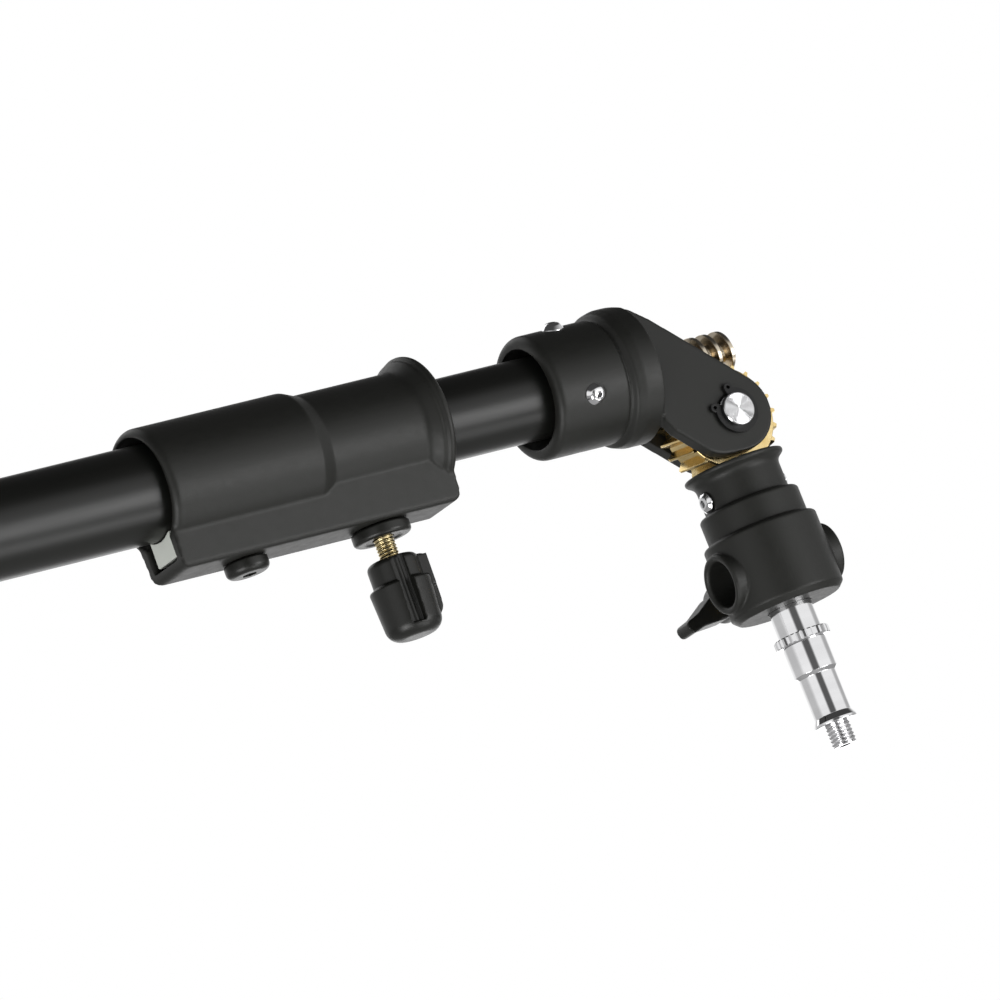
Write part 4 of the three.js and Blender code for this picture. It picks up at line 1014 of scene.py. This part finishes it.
# Spigot socket: a stepped casting with a bore for the spigot and a cross tube
def build_socket():
    s = socket
    piece = lathe([
        (0, -s.body_bottom),
        (s.body_radius - s.bottom_edge, -s.body_bottom, s.bottom_curve),
        (s.body_radius, s.bottom_edge - s.body_bottom, s.side_curve),
        (s.body_radius, -s.body_top - s.step, FINE),
        (s.body_radius - s.step, -s.body_top, SMALL),
        (s.ring_radius, -s.body_top),
        (s.ring_radius, -s.ring_top - s.step, FINE),
        (s.ring_radius - s.step, -s.ring_top, SMALL),
        (s.neck_radius + s.seam, -s.ring_top),
        (s.neck_radius, -s.ring_top + s.seam, SOFT),
        (s.neck_radius, -s.flange_top - s.flange_under, s.cove),
        (s.flange_radius, -s.flange_top - s.flange_edge, s.flange_curve),
        (s.flange_radius, -s.flange_top, FULL),
        (0, -s.flange_top),
    ])
    half = s.cross_half
    bore = receiver_radius + GAP
    at_cross = shift(z=-s.cross_level)
    join(piece, move(soft_rod(s.cross_radius, -half, half, FULL, FULL), TO_X, at_cross))
    join(piece, move(rod(s.boss_radius, 0, s.boss_reach), TO_Y, at_cross))
    drill(piece, wheel.stem + GAP, -wheel.stem_depth - GAP, 0)
    drill(piece, bore, -s.body_bottom - OVERRUN, -s.bore_top)
    bore_end = half + s.mouth_flare
    mouth = receiver_radius + 2 * s.mouth_flare
    half_bore = [(bore, half - s.mouth_flare), (mouth, bore_end), (0, bore_end)]
    cut(piece, move(lathe(mirrored(half_bore) + half_bore), TO_X, at_cross))
    drill(piece, lock.insert_radius + GAP, 0, s.boss_reach + OVERRUN, TO_Y, at_cross)
    reach = s.neck_radius + OVERRUN
    places = TO_X, shift(z=-neck_screw.level)
    drill(piece, neck_screw.shank_radius + GAP, -reach, reach, *places, segments=FEWER)
    dress(moulded(piece, grid=0.42, rounds=2, keep=0.45), "spigot_socket", AT_HEAD)


def build_neck_screws():
    n = neck_screw
    head = socket.neck_radius + GAP
    for number, degrees in ((1, -90), (2, 90)):
        screw = button_screw(n, n.start, head, head + n.head_height)
        dress(screw, f"neck_screw_{number}", AT_HEAD @ shift(z=-n.level) @ rotation(degrees, "Y"))


# Winged lever and stud that lock the spigot
def build_lock():
    k = lock
    end = k.hub_start + k.hub_length
    piece = move(soft_rod(k.hub_radius, k.hub_start, end, FULL, k.hub_edge), TO_Y)
    root = (k.hub_radius + k.hub_edge) * k.root_share
    waist = k.waist_share * k.wing_reach
    half = [
        (0, -k.root_half),
        (root, -k.root_half, k.root_curve),
        (waist, -k.waist_half, k.waist_curve),
        (k.wing_reach, -k.tip_half, k.tip_curve),
    ]
    middle_y = k.hub_start + k.hub_length / 2
    for flip in (0, 180):
        wing = move(prism(half + mirrored(half), -k.wing_half, k.wing_half), PLATE)
        join(piece, move(wing, shift(y=middle_y), rotation(flip - k.turn, "Y")))
    start, stop = low("lock_stud").y, high("lock_stud").y
    drill(piece, k.stud_radius + GAP, k.hub_start - OVERRUN, stop + GAP, TO_Y)
    dress(moulded(piece, grid=0.35, rounds=4, keep=0.5), "lock_lever", AT_CROSS)
    thread = threaded(k.stud_radius, k.thread, k.pitch, start, stop)
    dress(thread, "lock_stud", AT_CROSS @ TO_Y, sharp=60)


# Spigot with its waist and threaded end
def build_spigot():
    s = spigot
    seat = receiver_radius - s.seat_groove
    core = s.thread_radius - s.thread
    piece = lathe([
        (0, -s.shoulder - GAP),
        (core, -s.shoulder - GAP),
        (core, -s.shoulder),
        (s.flare_radius, -s.shoulder, FINE),
        (s.flare_radius, s.flare_edge - s.shoulder, FINE),
        (s.waist_radius, -s.flare_top, FULL),
        (s.waist_radius, -s.waist_top - s.waist_bevel, FINE),
        (receiver_radius, -s.waist_top, FINE),
        (receiver_radius, -s.ring_bottom - GAP),
        (seat, -s.ring_bottom - GAP),
        (seat, GAP - s.ring_top),
        (receiver_radius, GAP - s.ring_top),
        (receiver_radius, -s.top, s.chamfer),
        (0, -s.top),
    ])
    thread = threaded(s.thread_radius, s.thread, s.pitch, -s.end, GAP - s.shoulder)
    drill(thread, s.socket, -s.end - OVERRUN, s.socket_depth - s.end, segments=FEWER)
    join(piece, thread)
    dress(piece, "spigot", AT_HEAD, sharp=30)


def build_knurled_ring():
    s = spigot
    rim = s.ring_radius
    outline = []
    for k in range(s.knurls):
        for share, radius in ((0, rim - s.knurl), (s.knurl_shares[0], rim), (s.knurl_shares[1], rim)):
            outline.append(polar(radius, tau * (k + share) / s.knurls))
    piece = prism(outline, -s.ring_bottom, -s.ring_top)
    bevel = s.ring_bevel
    trim = lathe([
        (0, -s.ring_bottom - GAP),
        (rim - bevel, -s.ring_bottom - GAP),
        (rim + GAP, bevel - s.ring_bottom),
        (rim + GAP, -s.ring_top - bevel),
        (rim - bevel, GAP - s.ring_top),
        (0, GAP - s.ring_top),
    ])
    combine(piece, trim, "INTERSECT")
    seat = receiver_radius - s.seat_groove + GAP
    drill(piece, seat, -s.ring_bottom - OVERRUN, OVERRUN - s.ring_top)
    dress(piece, "knurled_ring", AT_HEAD, sharp=25)


# The camera looks along VIEW: from behind, from the near side and from a little below.
# ALONG_ARM is the direction that shows ARM_RISE degrees above level in the picture.
IMAGE_SIDE = 354.6
SENSOR_WIDTH = 36
CAMERA_DISTANCE = 5000
ARM_RISE = 14.06
VIEW = Vector((0.5, 0.85, 0.165)).normalized()
ALONG_ARM = Vector((0.866, -0.491, -0.0954)).normalized()
MIDDLE_OF_PICTURE = Vector((350, 0, 0))
BELOW_ARM = 33.1

# Lamps: direction from the arm, distance and size in metres, and power in watts
LAMPS = {
    "front_light": ((0.5, -0.8, -0.33), 1.8, (1.1, 0.9), 14),
    "under_light": ((0.45, 0.85, -0.25), 2, (1.4, 0.8), 4),
    "low_light": ((0.25, -0.5, -0.83), 1.6, (1.2, 0.5), 5),
    "left_light": ((-0.72, -0.3, -0.62), 1.7, (0.9, 0.9), 14),
    "far_light": ((-0.1, 0.75, 0.75), 2.2, (1.5, 1.5), 9),
}

# The room that shiny surfaces show is white with dark sides: the direction of each, the cosines
# between which it darkens, and the level that it darkens to
ROOM_LEVEL = 0.95
AMBIENT_LEVEL = 0.35
DARK_SIDES = [
    ((0, 0, 1), 0.3, 0.62, 0.06),
    ((-0.39, -0.92, 0.1), 0.91, 0.98, 0.12),
    ((-0.77, 0.64, 0), 0.7, 0.95, 0.6),
    ((1, 0.1, 0), 0.85, 0.98, 0.5),
]
WHITE = (1, 1, 1, 1)

FLOOR_LEVEL = -2500
FLOOR_REACH = 20000
FLOOR_LIFT = 0.62


def build_camera():
    down = VIEW.cross(ALONG_ARM)
    rise = radians(ARM_RISE)
    right = ALONG_ARM * cos(rise) + down * sin(rise)
    up = ALONG_ARM * sin(rise) - down * cos(rise)
    target = MIDDLE_OF_PICTURE - up * BELOW_ARM
    lens = SENSOR_WIDTH * CAMERA_DISTANCE / IMAGE_SIDE
    data = assign(bpy.data.cameras.new("camera"), sensor_width=SENSOR_WIDTH, lens=lens, clip_end=100)
    camera = add_object("camera", data)
    turn = Matrix((right, up, -VIEW)).transposed().to_4x4()
    camera.matrix_world = Matrix.Translation((target - VIEW * CAMERA_DISTANCE) * MM) @ turn
    bpy.context.scene.camera = camera


def build_lamps():
    for name, (direction, distance, (width, height), power) in LAMPS.items():
        data = bpy.data.lights.new(name, "AREA")
        assign(data, shape="RECTANGLE", size=width, size_y=height, energy=power)
        away = Vector(direction).normalized()
        place = Matrix.Translation(MIDDLE_OF_PICTURE * MM + away * distance)
        add_object(name, data).matrix_world = place @ away.to_track_quat("Z", "Y").to_matrix().to_4x4()


def room_shade(tree):
    """The brightness of the room in each direction: its level times one share for each dark side."""
    direction = node_of(tree, "ShaderNodeTexCoord")
    shade = None
    for towards, start, end, dark in DARK_SIDES:
        side = {1: Vector(towards).normalized()}
        dot = node_of(tree, "ShaderNodeVectorMath", side, operation="DOT_PRODUCT")
        link(direction, "Generated", dot, 0)
        ends = {"From Min": start, "From Max": end, "To Min": 1, "To Max": dark}
        share = node_of(tree, "ShaderNodeMapRange", ends, interpolation_type="SMOOTHSTEP")
        link(dot, "Value", share, "Value")
        product = node_of(tree, "ShaderNodeMath", {0: ROOM_LEVEL}, operation="MULTIPLY")
        if shade:
            link(shade, "Value", product, 0)
        link(share, "Result", product, 1)
        shade = product
    return shade


# World: white for the camera, the room for shiny and clear surfaces, and a soft ambient light
def build_world():
    world = bpy.data.worlds.new("studio")
    bpy.context.scene.world = world
    world.use_nodes = True
    tree = world.node_tree
    backdrop = tree.nodes["Background"]
    set_values(backdrop, {"Color": WHITE})
    room = node_of(tree, "ShaderNodeBackground", {"Color": WHITE})
    rays = node_of(tree, "ShaderNodeLightPath")
    shiny = node_of(tree, "ShaderNodeMath", operation="MAXIMUM")
    link(rays, "Is Glossy Ray", shiny, 0)
    link(rays, "Is Transmission Ray", shiny, 1)
    strength = node_of(tree, "ShaderNodeMix", {"A": AMBIENT_LEVEL})
    link(shiny, "Value", strength, "Factor")
    link(room_shade(tree), "Value", strength, "B")
    link(strength, "Result", room, "Strength")
    mix = node_of(tree, "ShaderNodeMixShader")
    link(rays, "Is Camera Ray", mix, "Fac")
    link(room, "Background", mix, 1)
    link(backdrop, "Background", mix, 2)
    link(mix, "Shader", tree.nodes["World Output"], "Surface")


# Pale floor, lifted to white for the camera
def build_floor():
    reach = FLOOR_REACH
    corners = ((-reach, -reach), (reach, -reach), (reach, reach), (-reach, reach))
    floor = new_piece([(x, y, FLOOR_LEVEL) for x, y in corners], [(0, 1, 2, 3)])
    floor.name = "floor"
    move(floor, Matrix.Scale(MM, 4))
    pale = finish("floor_paper", (0.86, 0.86, 0.86), 0.8, grain=2, bump=0.02, patch=400, spread=0.02)
    tree = pale.node_tree
    shader = tree.nodes["Principled BSDF"]
    rays = node_of(tree, "ShaderNodeLightPath")
    lift = node_of(tree, "ShaderNodeMath", {1: FLOOR_LIFT}, operation="MULTIPLY")
    set_values(shader, {"Emission Color": WHITE})
    link(rays, "Is Camera Ray", lift, 0)
    link(lift, "Value", shader, "Emission Strength")
    floor.data.materials.append(pale)


bpy.context.scene.view_settings.view_transform = "Standard"
build_camera()
build_lamps()
build_world()
build_floor()

# The CAD's own meshes show where nothing replaces them
for node, piece in frame["nodes"].items():
    paint(piece, finishes[slots[node]], sharp=30)
build_tubes()
build_rear_plug()
build_crank()
build_grip()
build_collar()
build_fixing()
build_front_bush()
build_clamp_screw()
build_knob()
build_yoke()
build_sleeve_screws()
build_pivot_pin()
build_retaining_rings()
build_worm()
build_wheel()
build_socket()
build_neck_screws()
build_lock()
build_spigot()
build_knurled_ring()
